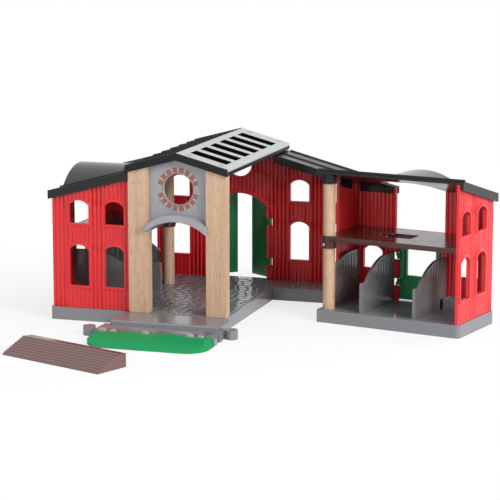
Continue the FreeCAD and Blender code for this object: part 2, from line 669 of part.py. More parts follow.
bank_slide = prism("bank_slide", "YZ", "-track_half", "2 * track_half", bank_front)
bank_width = prism("bank_width", "XZ", f"-{BANK_FRONT}", "bank_depth", bank_ends)
node(common("green_bank", common("bank_rounded", bank_block, bank_slide), bank_width), "green_bank")


def hewn_stone(name, middle, share):
    """A stone on the bank: a block of its plan that narrows to the top along and across."""
    x, y = middle
    half_length = f"{share / 2} * stone_length"
    half_depth = f"{share / 2} * stone_depth"
    height = f"{share} * stone_height"
    plan = []
    for u, v in STONE_PLAN:
        plan.append((f"{x} + {u} * {half_length}", f"{y} + {v} * {half_depth}"))
    top = f"track_top + {height}"
    along = [
        (f"{x} - {half_length}", "track_top"),
        (f"{x} + {half_length}", "track_top"),
        (f"{x} + {STONE_CROWN} * {half_length}", top),
        (f"{x} - {STONE_CROWN} * {half_length}", top),
    ]
    across = [
        (f"{y} - {half_depth}", "track_top"),
        (f"{y} + {half_depth}", "track_top"),
        (f"{y} + {STONE_CROWN} * {half_depth}", top),
        (f"{y} - {STONE_CROWN} * {half_depth}", top),
    ]
    block = prism(f"stone_block_{name}", "XY", "track_top", height, plan)
    ends = prism(f"stone_ends_{name}", "XZ", f"{y} - {half_depth}", f"2 * {half_depth}", along)
    flanks = prism(f"stone_flanks_{name}", "YZ", f"{x} - {half_length}", f"2 * {half_length}", across)
    return common(f"stone_{name}", common(f"stone_rough_{name}", block, ends), flanks)


stones = []
for name, along, share in STONES:
    middle = (f"track_half * {along}", f"-{TRACK_FRONT} - stone_inset")
    stones.append(hewn_stone(name, middle, share))
node(group("bank_stones", stones), "bank_stones")

# Gable front

pillar_face = [
    ("pillar_inner", "base_height"),
    ("hall_half", "base_height"),
    ("hall_half", main_under("hall_half")),
    ("pillar_inner", main_under("pillar_inner")),
]
both_sides("front_pillar", prism("pillar_form", "XZ", "0", "pillar_depth", pillar_face))

ARCH_RADIUS = arc_radius("pillar_inner", "arch_rise")
panel_face = [
    ("-pillar_inner", "arch_spring", ARCH_RADIUS, "right"),
    ("pillar_inner", "arch_spring"),
    ("pillar_inner", main_under("pillar_inner")),
    ("0", main_under("0")),
    ("-pillar_inner", main_under("pillar_inner")),
]
panel_plate = prism("panel_plate", "XZ", "panel_y", "panel_thick", panel_face)
RIM_RADIUS = "(gable_window_radius + ring_trim)"
rim_start = ("0", "panel_y - ring_proud", "gable_window_z")
panel_rim = cylinder("panel_rim", "y", rim_start, RIM_RADIUS, "ring_proud + joined")
hole_start = ("0", "panel_y - ring_proud - past", "gable_window_z")
hole_depth = "panel_thick + ring_proud + 2 * past"
panel_hole = cylinder("panel_hole", "y", hole_start, "gable_window_radius", hole_depth)
node(cut("gable_panel", fuse("panel_with_rim", panel_plate, panel_rim), panel_hole), "gable_panel")

brick_corner = ("-brick_width / 2", "-ring_proud", RIM_RADIUS)
brick = box("brick_form", brick_corner, ("brick_width", "ring_proud", "brick_length"))
bricks = []
for half, half_turn in (("top", 0), ("foot", 180)):
    for index in range(BRICKS_PER_HALF):
        copy = group(f"brick_{half}_{index}", [brick])
        angle = f"{half_turn} + {index - (BRICKS_PER_HALF - 1) / 2} * brick_turn"
        spot = "create(<<vector>>; 0; panel_y; gable_window_z)"
        turn = f"create(<<rotation>>; create(<<vector>>; 0; 1; 0); {angle})"
        bind(copy, "Placement", f"create(<<placement>>; {spot}; {turn})")
        bricks.append(copy)
node(group("gable_brick_ring", bricks), "gable_brick_ring")


def hood_band(name, half, start, depth):
    """Arched band of the hood with a given half width."""
    drop = f"({ARCH_RADIUS} - sqrt({ARCH_RADIUS}^2 - ({half})^2))"
    foot = f"arch_spring + arch_rise - {drop}"
    corners = [
        (f"-({half})", foot, ARCH_RADIUS, "right"),
        (f"({half})", foot),
        (f"({half})", f"{foot} + hood_thick", ARCH_RADIUS, "left"),
        (f"-({half})", f"{foot} + hood_thick"),
    ]
    return prism(name, "XZ", start, depth, corners)


hood_back = hood_band("hood_back", "pillar_inner", "-joined", "panel_y + joined")
hood_front = hood_band("hood_front", "pillar_inner + hood_overlap", "-hood_reach", "hood_reach")
hood_solid = fuse("hood_solid", hood_back, hood_front)
room_radius = f"{RIM_RADIUS} + brick_length + hood_clear"
room_start = ("0", "panel_y - ring_proud - hood_clear", "gable_window_z")
hood_room = cylinder("hood_room", "y", room_start, room_radius, "ring_proud + hood_clear + past")
node(cut("arch_hood", hood_solid, hood_room), "arch_hood")

# Main roof


def roof_band(name, left, right, rise, height, span):
    """Gable-shaped band, its top raised or lowered against the roof surface."""
    ridge = f"{main_top('0')} + ({rise})"
    top_left = f"{main_top(left)} + ({rise})"
    top_right = f"{main_top(right)} + ({rise})"
    corners = [
        (f"-({left})", f"{top_left} - ({height})"),
        ("0", f"{ridge} - ({height})"),
        (f"({right})", f"{top_right} - ({height})"),
        (f"({right})", top_right),
        ("0", ridge),
        (f"-({left})", top_left),
    ]
    return prism(name, "XZ", *span, corners)


RIGHT_EAVE = f"({MAIN_EAVE} - cover_lip)"
ROOF_INNER = "(hall_half + roof_fit)"
COVER_FRONT = "(fascia_wall - roof_front)"
COVER_LENGTH = f"({ROOF_BACK} - {COVER_FRONT})"
body_span = (f"{COVER_FRONT} - joined", f"{COVER_LENGTH} + joined")
room_span = (COVER_FRONT, f"{COVER_LENGTH} - fascia_wall")
roof_body = roof_band("roof_body", MAIN_EAVE, RIGHT_EAVE, "-cover", "fascia - cover", body_span)
roof_face = roof_band("roof_face", MAIN_EAVE, MAIN_EAVE, "0", "fascia", ("-roof_front", "fascia_wall"))
roof_room = roof_band("roof_room", ROOF_INNER, ROOF_INNER, "-cover - sheet", "fascia", room_span)
roof_shell = cut("roof_shell", fuse("roof_block", roof_body, roof_face), roof_room)
seams = []
seam_run = f"({COVER_LENGTH} - seam_width)"
seam_total = int(number(seam_run) / number("seam_pitch"))
seam_face = [
    (f"-{MAIN_EAVE}", f"{main_top(MAIN_EAVE)} - cover - joined"),
    ("0", f"{main_top('0')} - cover - joined"),
    ("0", f"{main_top('0')} - cover + seam_height"),
    (f"-{MAIN_EAVE}", f"{main_top(MAIN_EAVE)} - cover + seam_height"),
]
for index in range(seam_total + 1):
    y = f"{COVER_FRONT} + {index} * {seam_run} / {seam_total}"
    seams.append(prism(f"main_seam_{index}", "XZ", y, "seam_width", seam_face))
node(fuse("main_roof", roof_shell, *seams), "main_roof")

plate_face = [
    ("0", f"{main_top('0')} - cover"),
    (RIGHT_EAVE, f"{main_top(RIGHT_EAVE)} - cover"),
    (RIGHT_EAVE, f"{main_top(MAIN_EAVE)} - lip_depth"),
    (MAIN_EAVE, f"{main_top(MAIN_EAVE)} - lip_depth"),
    (MAIN_EAVE, main_top(MAIN_EAVE)),
    ("0", main_top("0")),
]
plate = prism("plate", "XZ", COVER_FRONT, COVER_LENGTH, plate_face)


def slot(name, x, y, length, width):
    """Slot cut down through the skylight plate, clear of its top and underside."""
    foot = f"({main_top(f'{x} + {length}')} - cover - past)"
    return box(name, (x, y, foot), (length, width, f"ridge_z - {foot}"))


slots = []
slot_length = f"({MAIN_EAVE} - slot_outer - slot_inner)"
for index in range(SLOT_COUNT):
    y = f"slot_first + {index} * slot_pitch"
    slots.append(slot(f"slot_{index}", "slot_inner", y, slot_length, "slot_width"))
small_columns = (
    ("inner", "small_slot_inner"),
    ("outer", f"({MAIN_EAVE} - small_slot_outer - small_slot_length)"),
)
small_rows = (
    ("front", f"{COVER_FRONT} + small_slot_end"),
    ("back", f"{ROOF_BACK} - small_slot_end - small_slot_width"),
)
for column, x in small_columns:
    for row, y in small_rows:
        slots.append(slot(f"small_slot_{column}_{row}", x, y, "small_slot_length", "small_slot_width"))
node(cut("skylight_plate", plate, *slots), "skylight_plate")

# Roofs of the wings and of the back strip


def lean_band(name, reach, rise, height, span):
    """Sloping band that follows the wing roof from an inner to an outer distance."""
    inner, outer = reach
    corners = [
        (inner, f"{wing_top(inner)} + ({rise}) - ({height})"),
        (outer, f"{wing_top(outer)} + ({rise}) - ({height})"),
        (outer, f"{wing_top(outer)} + ({rise})"),
        (inner, f"{wing_top(inner)} + ({rise})"),
    ]
    return prism(name, "XZ", *span, corners)


def seam(name, inner, y):
    """Standing seam from an inner distance to the eave."""
    return lean_band(name, (inner, WING_EAVE), "seam_height", "seam_height + joined", (y, "seam_width"))


EAVE_INNER = f"({WING_EAVE} - fascia_wall)"
STRIP_FRONT = "(split_y + split_gap)"
STRIP_LENGTH = f"({ROOF_BACK} - {STRIP_FRONT})"
strip_block = lean_band("strip_block", ("hall_half", WING_EAVE), "0", "fascia", (STRIP_FRONT, STRIP_LENGTH))
strip_span = (f"{STRIP_FRONT} + fascia_wall", f"{STRIP_LENGTH} - 2 * fascia_wall")
strip_room = lean_band("strip_room", ("hall_half - past", EAVE_INNER), "-sheet", "fascia", strip_span)
strip_seams = []
for index in range(3):
    y = f"{STRIP_FRONT} + {index} * ({STRIP_LENGTH} - seam_width) / 2"
    strip_seams.append(seam(f"strip_seam_{index}", f"({MAIN_EAVE} + wing_gap)", y))
strip_shell = cut("strip_shell", strip_block, strip_room)
both_sides("back_roof", fuse("back_roof_form", strip_shell, *strip_seams))

WING_LENGTH = f"({WING_REAR} - {WING_FRONT})"
wing_span = (WING_FRONT, WING_LENGTH)
wing_block = lean_band("wing_block", (WING_INNER, WING_EAVE), "0", "fascia", wing_span)
wing_room_span = (f"{WING_FRONT} + fascia_wall", WING_LENGTH)
wing_room = lean_band("wing_room", (f"{WING_INNER} - past", EAVE_INNER), "-sheet", "fascia", wing_room_span)
wing_tray = cut("wing_tray", wing_block, wing_room)
rim_reach = (RIM_X, f"({RIM_X} + rim_width)")
wing_rim = lean_band("wing_rim", rim_reach, "rim_height", "rim_height + joined", wing_span)
wing_seams = []
wing_seam_total = int(number(f"{WING_LENGTH} - seam_width") / number("seam_pitch"))
for index in range(wing_seam_total + 1):
    y = f"{WING_FRONT} + {index} * ({WING_LENGTH} - seam_width) / {wing_seam_total}"
    wing_seams.append(seam(f"wing_seam_{index}", RIM_X, y))
COLLAR_FOOT = f"({wing_under(POST_X)} - roof_collar)"
ring_start = (POST_X, POST_Y, COLLAR_FOOT)
ring_column = cylinder("ring_column", "z", ring_start, "collar_radius", "2 * roof_collar")
under_reach = (f"({POST_X} - collar_radius - past)", f"({POST_X} + collar_radius + past)")
under_span = (f"{POST_Y} - collar_radius - past", "2 * (collar_radius + past)")
ring_room = lean_band("ring_room", under_reach, "-sheet / 2", "3 * roof_collar", under_span)
roof_ring = common("roof_ring", ring_column, ring_room)
clip_reach = (REAR_WALL_X, f"({REAR_WALL_X} + wall_clip_length)")
clip_span = (f"{REAR_INNER} - clip_thick", "clip_thick")
wall_clip = lean_band("wall_clip", clip_reach, "-sheet / 2", "clip_drop + sheet / 2", clip_span)
side_clip_reach = (f"({INNER_X} - clip_thick)", INNER_X)
side_clip_span = ("wing_mid + loft_door_half + side_clip_start", "side_clip_length")
side_clip = lean_band("side_clip", side_clip_reach, "-sheet / 2", "clip_drop + sheet / 2", side_clip_span)
wing_whole = fuse("wing_whole", wing_tray, wing_rim, *wing_seams, roof_ring, wall_clip, side_clip)

DORMER_AXIS = "(ridge_z - dormer_crown - dormer_radius)"
DORMER_LENGTH = f"({WING_EAVE} - dormer_end - {RIM_X})"
dormer_start = (RIM_X, "dormer_y", DORMER_AXIS)
whole_run = f"({WING_EAVE} - {RIM_X} + past)"
hole_radius = "dormer_radius - dormer_shell - dormer_lap"
dormer_inside = cylinder("dormer_inside", "x", dormer_start, hole_radius, whole_run)
vault_reach = (f"({RIM_X} + vault_start)", f"({WING_EAVE} + past)")
vault_span = ("dormer_y - loft_door_half", "2 * loft_door_half")
vault_core = lean_band("vault_core", vault_reach, "dormer_radius", "2 * dormer_radius", vault_span)
vault_hole = common("vault_hole", dormer_inside, vault_core)
dormer_outside = cylinder("dormer_outside", "x", dormer_start, "dormer_radius", whole_run)
room_reach = (f"({RIM_X} + rim_width)", f"({WING_EAVE} + past)")
seam_room = lean_band("seam_room", room_reach, "dormer_radius", "dormer_radius", wing_span)
dormer_room = common("dormer_room", dormer_outside, seam_room)
wing_open = cut("wing_open", wing_whole, vault_hole)
wing_piece("wing_roof", cut("wing_roof_form", wing_open, dormer_room))

dormer_solid = cylinder("dormer_solid", "x", dormer_start, "dormer_radius", DORMER_LENGTH)
core_start = (f"{RIM_X} - past", "dormer_y", DORMER_AXIS)
core_length = f"{DORMER_LENGTH} + 2 * past"
dormer_core = cylinder("dormer_core", "x", core_start, "dormer_radius - dormer_shell", core_length)
dormer_reach = (f"({RIM_X} + rim_width)", f"({WING_EAVE} - dormer_end)")
above_roof = lean_band("above_roof", dormer_reach, "dormer_radius", "dormer_radius", wing_span)
dormer_shape = cut("dormer_shape", dormer_solid, dormer_core)
wing_piece("wing_dormer", common("wing_dormer_form", dormer_shape, above_roof))

# Walls

CUT_DEPTH = "wall + 2 * past"
WINDOW_ROWS = (
    ("upper", "upper_sill", "upper_spring"),
    ("lower", "lower_sill", "lower_spring"),
)
WINDOW_COLUMNS = (
    ("near", f"({WING_INNER} + near_window)"),
    ("far", "(outer_x - far_window)"),
)


def windows(name, span, grow):
    """Four arched solids, one for each window of a wall's right half."""
    solids = []
    half = f"window_width / 2 + {grow}"
    rise = f"window_rise + {grow}"
    for row, sill, spring in WINDOW_ROWS:
        for column, middle in WINDOW_COLUMNS:
            title = f"{name}_{row}_{column}"
            solids.append(arched(title, "XZ", span, middle, half, f"{sill} - {grow}", spring, rise))
    return solids


def pivot_peg(name, pivot, middle, upward, grow):
    """Pivot peg of a door in its notch, or with some play the seat that holds it."""
    reach = f"notch_height / 2 + door_pin_seat + 2 * ({grow})"
    foot = f"{middle}" if upward else f"{middle} - ({reach})"
    return cylinder(name, "z", (*pivot, foot), f"door_pin_radius + {grow}", reach)


back_face = [
    ("-outer_x", "base_height"),
    ("-door_half", "base_height"),
    ("-door_half", "door_spring", arc_radius("door_half", "door_rise"), "right"),
    ("door_half", "door_spring"),
    ("door_half", "base_height"),
    ("outer_x", "base_height"),
    ("outer_x", wing_under("outer_x")),
    ("hall_half", wing_under("hall_half")),
    ("hall_half", main_under("hall_half")),
    ("0", main_under("0")),
    ("-hall_half", main_under("hall_half")),
    ("-hall_half", wing_under("hall_half")),
    ("-outer_x", wing_under("outer_x")),
]
back_plate = prism("back_plate", "XZ", "back_wall_y", "wall", back_face)
hole_span = ("back_wall_y - past", CUT_DEPTH)
back_holes = group("back_holes", windows("back_hole", hole_span, "0"))
round_start = ("0", "back_wall_y - past", "back_window_z")
round_hole = cylinder("round_hole", "y", round_start, "back_window_radius", CUT_DEPTH)
BACK_NOTCHES = (("low", "notch_low", False), ("high", "notch_high", True))
back_pivot = (DOOR_PIN_X, DOOR_PIN_Y)
back_cuts = []
for level, middle, upward in BACK_NOTCHES:
    corner = ("door_half - past", "back_wall_y - past", f"{middle} - notch_height / 2")
    notch = box(f"back_notch_{level}", corner, ("notch_width + past", CUT_DEPTH, "notch_height"))
    seat = pivot_peg(f"back_seat_{level}", back_pivot, middle, upward, "pin_fit")
    back_cuts.append(fuse(f"back_hinge_cut_{level}", notch, seat))
right_cuts = group("right_cuts", [back_holes] + back_cuts)
back_tools = (right_cuts, mirrored("left_cuts", right_cuts), round_hole)
node(cut("back_wall", back_plate, *back_tools), "back_wall")


def under_wing_roof(inner, outer):
    """Section of a wall or room that ends under the wing roof."""
    return [
        (inner, "base_height"),
        (outer, "base_height"),
        (outer, wing_under(outer)),
        (inner, wing_under(inner)),
    ]


side_section = under_wing_roof(INNER_X, "outer_x")
side_plate = prism("side_plate", "XZ", SIDE_START, f"back_wall_y - {SIDE_START}", side_section)
side_ear = fixed_ear("side_ear", "outer_x", SIDE_START, UPPER_EAR, "(ear_gap + ear_height)")
both_sides("back_side_wall", fuse("back_side_wall_form", side_plate, side_ear))

front_section = under_wing_roof(WING_INNER, "outer_x")
front_plate = prism("front_plate", "XZ", "front_wall_y", "wall", front_section)
front_span = ("front_wall_y - frame_proud", "wall + frame_proud")
front_framed = fuse("front_framed", front_plate, *windows("front_frame", front_span, "frame_width"))
front_holes = windows("front_hole", ("front_wall_y - past", CUT_DEPTH), "0")
wing_piece("wing_front_wall", cut("wing_front_wall_form", front_framed, *front_holes))

outer_plate = prism("outer_plate", "XZ", FRONT_INNER, f"{REAR_OUTER} - {FRONT_INNER}", side_section)
SIDE_WINDOWS = (
    ("rear", "(wing_mid + side_window_near + side_window_width / 2)"),
    ("fore", "(wing_mid - side_window_near - side_window_width / 2)"),
)
through_span = (f"{INNER_X} - past", CUT_DEPTH)
side_window_size = ("side_window_width / 2", "side_sill", "side_spring", "window_rise")
outer_holes = []
for side, middle in SIDE_WINDOWS:
    outer_holes.append(arched(f"outer_hole_{side}", "YZ", through_span, middle, *side_window_size))
outer_ear = wing_ear("outer_ear", "outer_x", UPPER_WING_EAR, "ear_height")
outer_eared = fuse("outer_eared", outer_plate, outer_ear)
loft_corner = (f"{INNER_X} - past", "wing_mid - loft_door_half", "loft_z")
loft_sizes = (CUT_DEPTH, "2 * loft_door_half", "ridge_z - loft_z")
loft_door = box("loft_door", loft_corner, loft_sizes)
doorway_size = ("stable_door_half", "base_height - past", "stable_spring", "stable_rise")
stable_doorway = arched("stable_doorway", "YZ", through_span, "wing_mid", *doorway_size)
STABLE_NOTCHES = (("low", "notch_low", False), ("high", "stable_notch_high", True))
stable_pivot = (STABLE_PIN_X, STABLE_PIN_Y)
stable_cuts = [stable_doorway]
for level, middle, upward in STABLE_NOTCHES:
    jamb = "wing_mid + stable_door_half"
    corner = (f"{INNER_X} - past", f"{jamb} - past", f"{middle} - notch_height / 2")
    lengths = (CUT_DEPTH, "notch_width + past", "notch_height")
    stable_cuts.append(box(f"stable_notch_{level}", corner, lengths))
    stable_cuts.append(pivot_peg(f"stable_seat_{level}", stable_pivot, middle, upward, "pin_fit"))
doorway_cut = fuse("doorway_cut", *stable_cuts)
outer_ear_hole = ear_hole("outer_ear_hole", UPPER_WING_EAR, "ear_height")
outer_tools = (*outer_holes, loft_door, doorway_cut, outer_ear_hole)
wing_piece("wing_outer_wall", cut("wing_outer_wall_form", outer_eared, *outer_tools))

rear_section = under_wing_roof(REAR_WALL_X, f"({INNER_X} - rear_slit)")
wing_piece("wing_rear_wall", prism("wing_rear_wall_form", "XZ", REAR_INNER, "wall", rear_section))

# Loft, post, stalls

LOFT_INNER = f"({WING_INNER} + loft_inner)"
LOFT_REAR = f"({REAR_INNER} - clip_thick)"
LOFT_FOOT = "(loft_z - loft_thick)"
loft_sizes = (f"{INNER_X} - {LOFT_INNER}", f"{LOFT_REAR} - {FRONT_INNER}", "loft_thick")
loft_plate = box("loft_plate", (LOFT_INNER, FRONT_INNER, LOFT_FOOT), loft_sizes)
collar_start = (POST_X, POST_Y, f"{LOFT_FOOT} - loft_collar")
loft_ring = cylinder("loft_ring", "z", collar_start, "collar_radius", "loft_thick + loft_collar")
loft_solid = fuse("loft_solid", loft_plate, loft_ring)
HATCH_X = f"({WING_INNER} + hatch_x)"
HATCH_REAR = "(hatch_y + hatch_width)"
hatch_middle = f"({HATCH_X} + hatch_length / 2)"
hatch_plan = [
    (HATCH_X, "hatch_y"),
    (f"{HATCH_X} + hatch_length", "hatch_y"),
    (f"{HATCH_X} + hatch_length", HATCH_REAR),
    (f"{hatch_middle} + wedge_mouth / 2", HATCH_REAR),
    (f"{hatch_middle} + wedge_end / 2", f"{HATCH_REAR} + hatch_wedge"),
    (f"{hatch_middle} - wedge_end / 2", f"{HATCH_REAR} + hatch_wedge"),
    (f"{hatch_middle} - wedge_mouth / 2", HATCH_REAR),
    (HATCH_X, HATCH_REAR),
]
hatch = prism("hatch", "XY", f"{LOFT_FOOT} - past", "loft_thick + 2 * past", hatch_plan)
bore_foot = (POST_X, POST_Y, f"{LOFT_FOOT} - loft_collar - past")
bore_height = "loft_thick + loft_collar + 2 * past"
loft_bore = cylinder("loft_bore", "z", bore_foot, "post_radius", bore_height)
wing_piece("wing_loft_floor", cut("wing_loft_floor_form", loft_solid, hatch, loft_bore))


def plane_of(body, role):
    """One of a body's own origin planes or axes."""
    return [feature for feature in body.Origin.OriginFeatures if feature.Role == role][0]


def body_sketch(body, name, role, offset, corners):
    """Sketch of a closed outline on one of a body's own planes."""
    sketch = body.newObject("Sketcher::SketchObject", name)
    sketch.AttachmentSupport = [(plane_of(body, role), "")]
    sketch.MapMode = "FlatFace"
    bind(sketch, "AttachmentOffset.Base.z", offset)
    draw(sketch, corners)
    return sketch


def pad(body, name, sketch, length):
    """Material drawn out from a sketch along its normal."""
    feature = body.newObject("PartDesign::Pad", name)
    feature.Profile = sketch
    bind(feature, "Length", length)
    return feature


post_body = doc.addObject("PartDesign::Body", "wing_post_form")
post_section = [
    ("0", "base_height"),
    ("post_radius", "base_height"),
    ("post_radius", COLLAR_FOOT),
    ("0", COLLAR_FOOT),
]
post_turn = post_body.newObject("PartDesign::Revolution", "post_turn")
post_turn.Profile = body_sketch(post_body, "post_section", "XZ_Plane", "0", post_section)
post_turn.ReferenceAxis = (plane_of(post_body, "Z_Axis"), [""])
post_turn.Angle = 360
wing_piece("wing_post", moved("wing_post_placed", post_body, shift=(POST_X, POST_Y)))

DIVIDER_FRONT = f"({WING_INNER} + divider_front)"
DIVIDER_LEVEL = "(outer_x - divider_level)"
DIVIDER_SLOPE = f"({DIVIDER_FRONT} + divider_post + divider_ledge)"


divider = doc.addObject("PartDesign::Body", "divider_form")
divider_face = [
    (DIVIDER_FRONT, "base_height"),
    (INNER_X, "base_height"),
    (INNER_X, "divider_top"),
    (DIVIDER_LEVEL, "divider_top", "divider_curve", "left"),
    (DIVIDER_SLOPE, "divider_low - divider_step"),
    (f"{DIVIDER_FRONT} + divider_post", "divider_low - divider_step"),
    (f"{DIVIDER_FRONT} + divider_post", "divider_low", "divider_crown", "left"),
    (DIVIDER_FRONT, "divider_low"),
]
plate_sketch = body_sketch(divider, "divider_face", "XZ_Plane", "-divider_thick / 2", divider_face)
pad(divider, "divider_plate", plate_sketch, "divider_thick")

slat_depth = "(divider_thick + 2 * slat_proud)"
slat_corner = (f"{DIVIDER_LEVEL} - slat_first", f"-{slat_depth} / 2", "slat_sill")
slat_bars = []
for index in range(SLAT_COUNT):
    corner = (f"{slat_corner[0]} + {index} * slat_pitch", *slat_corner[1:])
    slat_bars.append(box(f"slat_{index}", corner, ("slat_width", slat_depth, "divider_top - slat_sill")))
slat_field = [
    (DIVIDER_SLOPE, "base_height"),
    (INNER_X, "base_height"),
    (INNER_X, "divider_top - slat_drop"),
    (DIVIDER_LEVEL, "divider_top - slat_drop"),
    (f"{DIVIDER_LEVEL} - slat_first", "divider_top - slat_drop - slat_fall"),
    (DIVIDER_SLOPE, "slat_sill"),
]
slat_limit = prism("slat_limit", "XZ", f"-{slat_depth}", f"2 * {slat_depth}", slat_field)
slats = common("slats", group("slat_bars", slat_bars), slat_limit)
divider_form = fuse("divider_slatted", divider, slats)
short_sizes = (f"{POST_X} + divider_short", f"2 * {slat_depth}", "divider_top")
short_cut = box("short_cut", ("0", f"-{slat_depth}", "0"), short_sizes)
divider_rear = cut("divider_rear", divider_form, short_cut)
DIVIDERS = (
    ("1", divider_rear, "divider_rear_y"),
    ("2", divider_form, "divider_mid_y"),
    ("3", divider_form, "divider_near_y"),
)
for title, form, y in DIVIDERS:
    wing_piece(f"stall_divider_{title}", moved(f"divider_{title}_placed", form, shift=("0", y)))

trough = doc.addObject("PartDesign::Body", "feed_trough_form")
TROUGH_X = f"({INNER_X} - trough_width)"
TROUGH_Y = f"({FRONT_INNER} + trough_y)"


def trough_plan(inset):
    """Plan of the trough, drawn in by an inset."""
    return [
        (f"{TROUGH_X} + ({inset})", f"{TROUGH_Y} + ({inset})"),
        (f"{INNER_X} - ({inset})", f"{TROUGH_Y} + ({inset})"),
        (f"{INNER_X} - ({inset})", f"{TROUGH_Y} + trough_length - ({inset})"),
        (f"{TROUGH_X} + ({inset})", f"{TROUGH_Y} + trough_length - ({inset})"),
    ]


block_sketch = body_sketch(trough, "trough_plan", "XY_Plane", "base_height", trough_plan("0"))
pad(trough, "trough_block", block_sketch, "trough_height")
trough_top = "base_height + trough_height"
inside_sketch = body_sketch(trough, "trough_inside", "XY_Plane", trough_top, trough_plan("trough_wall"))
trough_pocket = trough.newObject("PartDesign::Pocket", "trough_pocket")
trough_pocket.Profile = inside_sketch
bind(trough_pocket, "Length", "trough_height - trough_wall")
trough.Tip = trough_pocket
wing_piece("feed_trough", trough)

# Doors

LEAF_FOOT = "(base_height + leaf_lift)"
LEAF_Y = "(back_wall_y + wall + leaf_gap)"
LEAF_EDGE = "(door_half + leaf_gap)"
DOOR_RADIUS = arc_radius("door_half", "door_rise")
DOOR_CENTRE = f"(door_spring + door_rise - {DOOR_RADIUS})"
ARM_HEIGHT = "(notch_height - 2 * eye_play)"


def hinge_solids(name, pivot, notches, corner, lengths):
    """Hinge arms from a leaf to its pivot, each with the peg that turns in the wall."""
    solids = []
    for level, middle, upward in notches:
        low = (*corner, f"{middle} - {ARM_HEIGHT} / 2")
        solids.append(box(f"{name}_arm_{level}", low, (*lengths, ARM_HEIGHT)))
        solids.append(pivot_peg(f"{name}_peg_{level}", pivot, middle, upward, "0"))
    return solids


def leaf_face(inset):
    """Face of the right back door leaf, drawn in by an inset."""
    radius = f"({DOOR_RADIUS} + leaf_gap - ({inset}))"
    edge = f"({LEAF_EDGE} - ({inset}))"
    middle = f"(leaf_gap + ({inset}))"
    return [
        (middle, f"{LEAF_FOOT} + ({inset})"),
        (edge, f"{LEAF_FOOT} + ({inset})"),
        (edge, f"{DOOR_CENTRE} + sqrt({radius}^2 - {edge}^2)", radius, "left"),
        (middle, f"{DOOR_CENTRE} + sqrt({radius}^2 - {middle}^2)"),
    ]


leaf_plate = prism("leaf_plate", "XZ", LEAF_Y, "leaf_thick", leaf_face("0"))
arm_corner = (f"{LEAF_EDGE} - arm_root", DOOR_PIN_Y)
arm_lengths = (f"{DOOR_PIN_X} - {LEAF_EDGE} + arm_root", f"{LEAF_Y} - {DOOR_PIN_Y} + joined")
leaf_hinges = hinge_solids("leaf", back_pivot, BACK_NOTCHES, arm_corner, arm_lengths)
leaf_solid = fuse("leaf_solid", leaf_plate, *leaf_hinges)
rail_corner = ("0", "back_wall_y", "leaf_rail_z - leaf_border / 2")
rail_sizes = (LEAF_EDGE, "wall + leaf_gap + leaf_thick + past", "leaf_border")
leaf_rail = box("leaf_rail", rail_corner, rail_sizes)
leaf_fields = []
for face, y in (("inner", LEAF_Y), ("outer", f"{LEAF_Y} + leaf_thick - leaf_relief")):
    field = prism(f"{face}_field", "XZ", y, "leaf_relief", leaf_face("leaf_border"))
    leaf_fields.append(cut(f"{face}_sunk", field, leaf_rail))
back_door = cut("back_door_form", leaf_solid, *leaf_fields)
right_leaf = moved("back_door_right", back_door, angle="-right_door_angle", axis=back_pivot)
node(right_leaf, "back_door_right")
left_pivot = (f"-{DOOR_PIN_X}", DOOR_PIN_Y)
back_door_twin = mirrored("back_door_twin", back_door)
left_leaf = moved("back_door_left", back_door_twin, angle="left_door_angle", axis=left_pivot)
node(left_leaf, "back_door_left")

STABLE_X = "(outer_x + leaf_gap)"
STABLE_EDGE = "(wing_mid + stable_door_half + leaf_gap)"
leaf_half = "stable_door_half + leaf_gap"
stable_size = (leaf_half, LEAF_FOOT, "stable_spring", "stable_rise + leaf_gap")
stable_plate = arched("stable_plate", "YZ", (STABLE_X, "leaf_thick"), "wing_mid", *stable_size)
arm_corner = (STABLE_PIN_X, f"{STABLE_EDGE} - arm_root")
arm_lengths = (f"{STABLE_X} - {STABLE_PIN_X} + joined", f"{STABLE_PIN_Y} - {STABLE_EDGE} + arm_root")
stable_hinges = hinge_solids("stable", stable_pivot, STABLE_NOTCHES, arm_corner, arm_lengths)
stable_solid = fuse("stable_solid", stable_plate, *stable_hinges)
view_corner = (f"{STABLE_X} - past", "wing_mid - view_half", "view_sill")
view = box("view", view_corner, ("leaf_thick + 2 * past", "2 * view_half", "view_height"))
FIELD_FOOT = f"({LEAF_FOOT} + leaf_border)"
field_sizes = ("leaf_relief", "2 * (stable_door_half - leaf_border)")
field_sizes += (f"view_sill - leaf_border - {FIELD_FOOT}",)
stable_fields = []
for face, x in (("in", STABLE_X), ("out", f"{STABLE_X} + leaf_thick - leaf_relief")):
    corner = (x, "wing_mid - stable_door_half + leaf_border", FIELD_FOOT)
    stable_fields.append(box(f"stable_field_{face}", corner, field_sizes))
wing_piece("stable_door", cut("stable_door_form", stable_solid, view, *stable_fields))

# Loading ramp

RAMP_RUN = "(ramp_depth - ramp_flat)"


def ramp_height(y):
    """Height of the slope of the ramp at a distance from its low edge."""
    return f"(ramp_toe + (base_height - ramp_toe) * ({y}) / {RAMP_RUN})"


ramp_section = [
    ("0", "0"),
    ("ramp_depth", "0"),
    ("ramp_depth", "base_height"),
    (RAMP_RUN, "base_height"),
]
for index in reversed(range(RAMP_RIBS)):
    near = f"({RAMP_RUN} * ({index} + 0.5) / {RAMP_RIBS})"
    far = f"({near} + rib_width)"
    ramp_section.append((far, ramp_height(far)))
    ramp_section.append((far, f"{ramp_height(far)} + rib_height"))
    ramp_section.append((near, f"{ramp_height(near)} + rib_height"))
    ramp_section.append((near, ramp_height(near)))
ramp_section.append(("0", "ramp_toe"))
ramp = prism("ramp_form", "YZ", "0", "ramp_length", ramp_section)
node(moved("loading_ramp", ramp, shift=("ramp_x", "ramp_y"), angle="ramp_turn"), "loading_ramp")

doc.recompute()

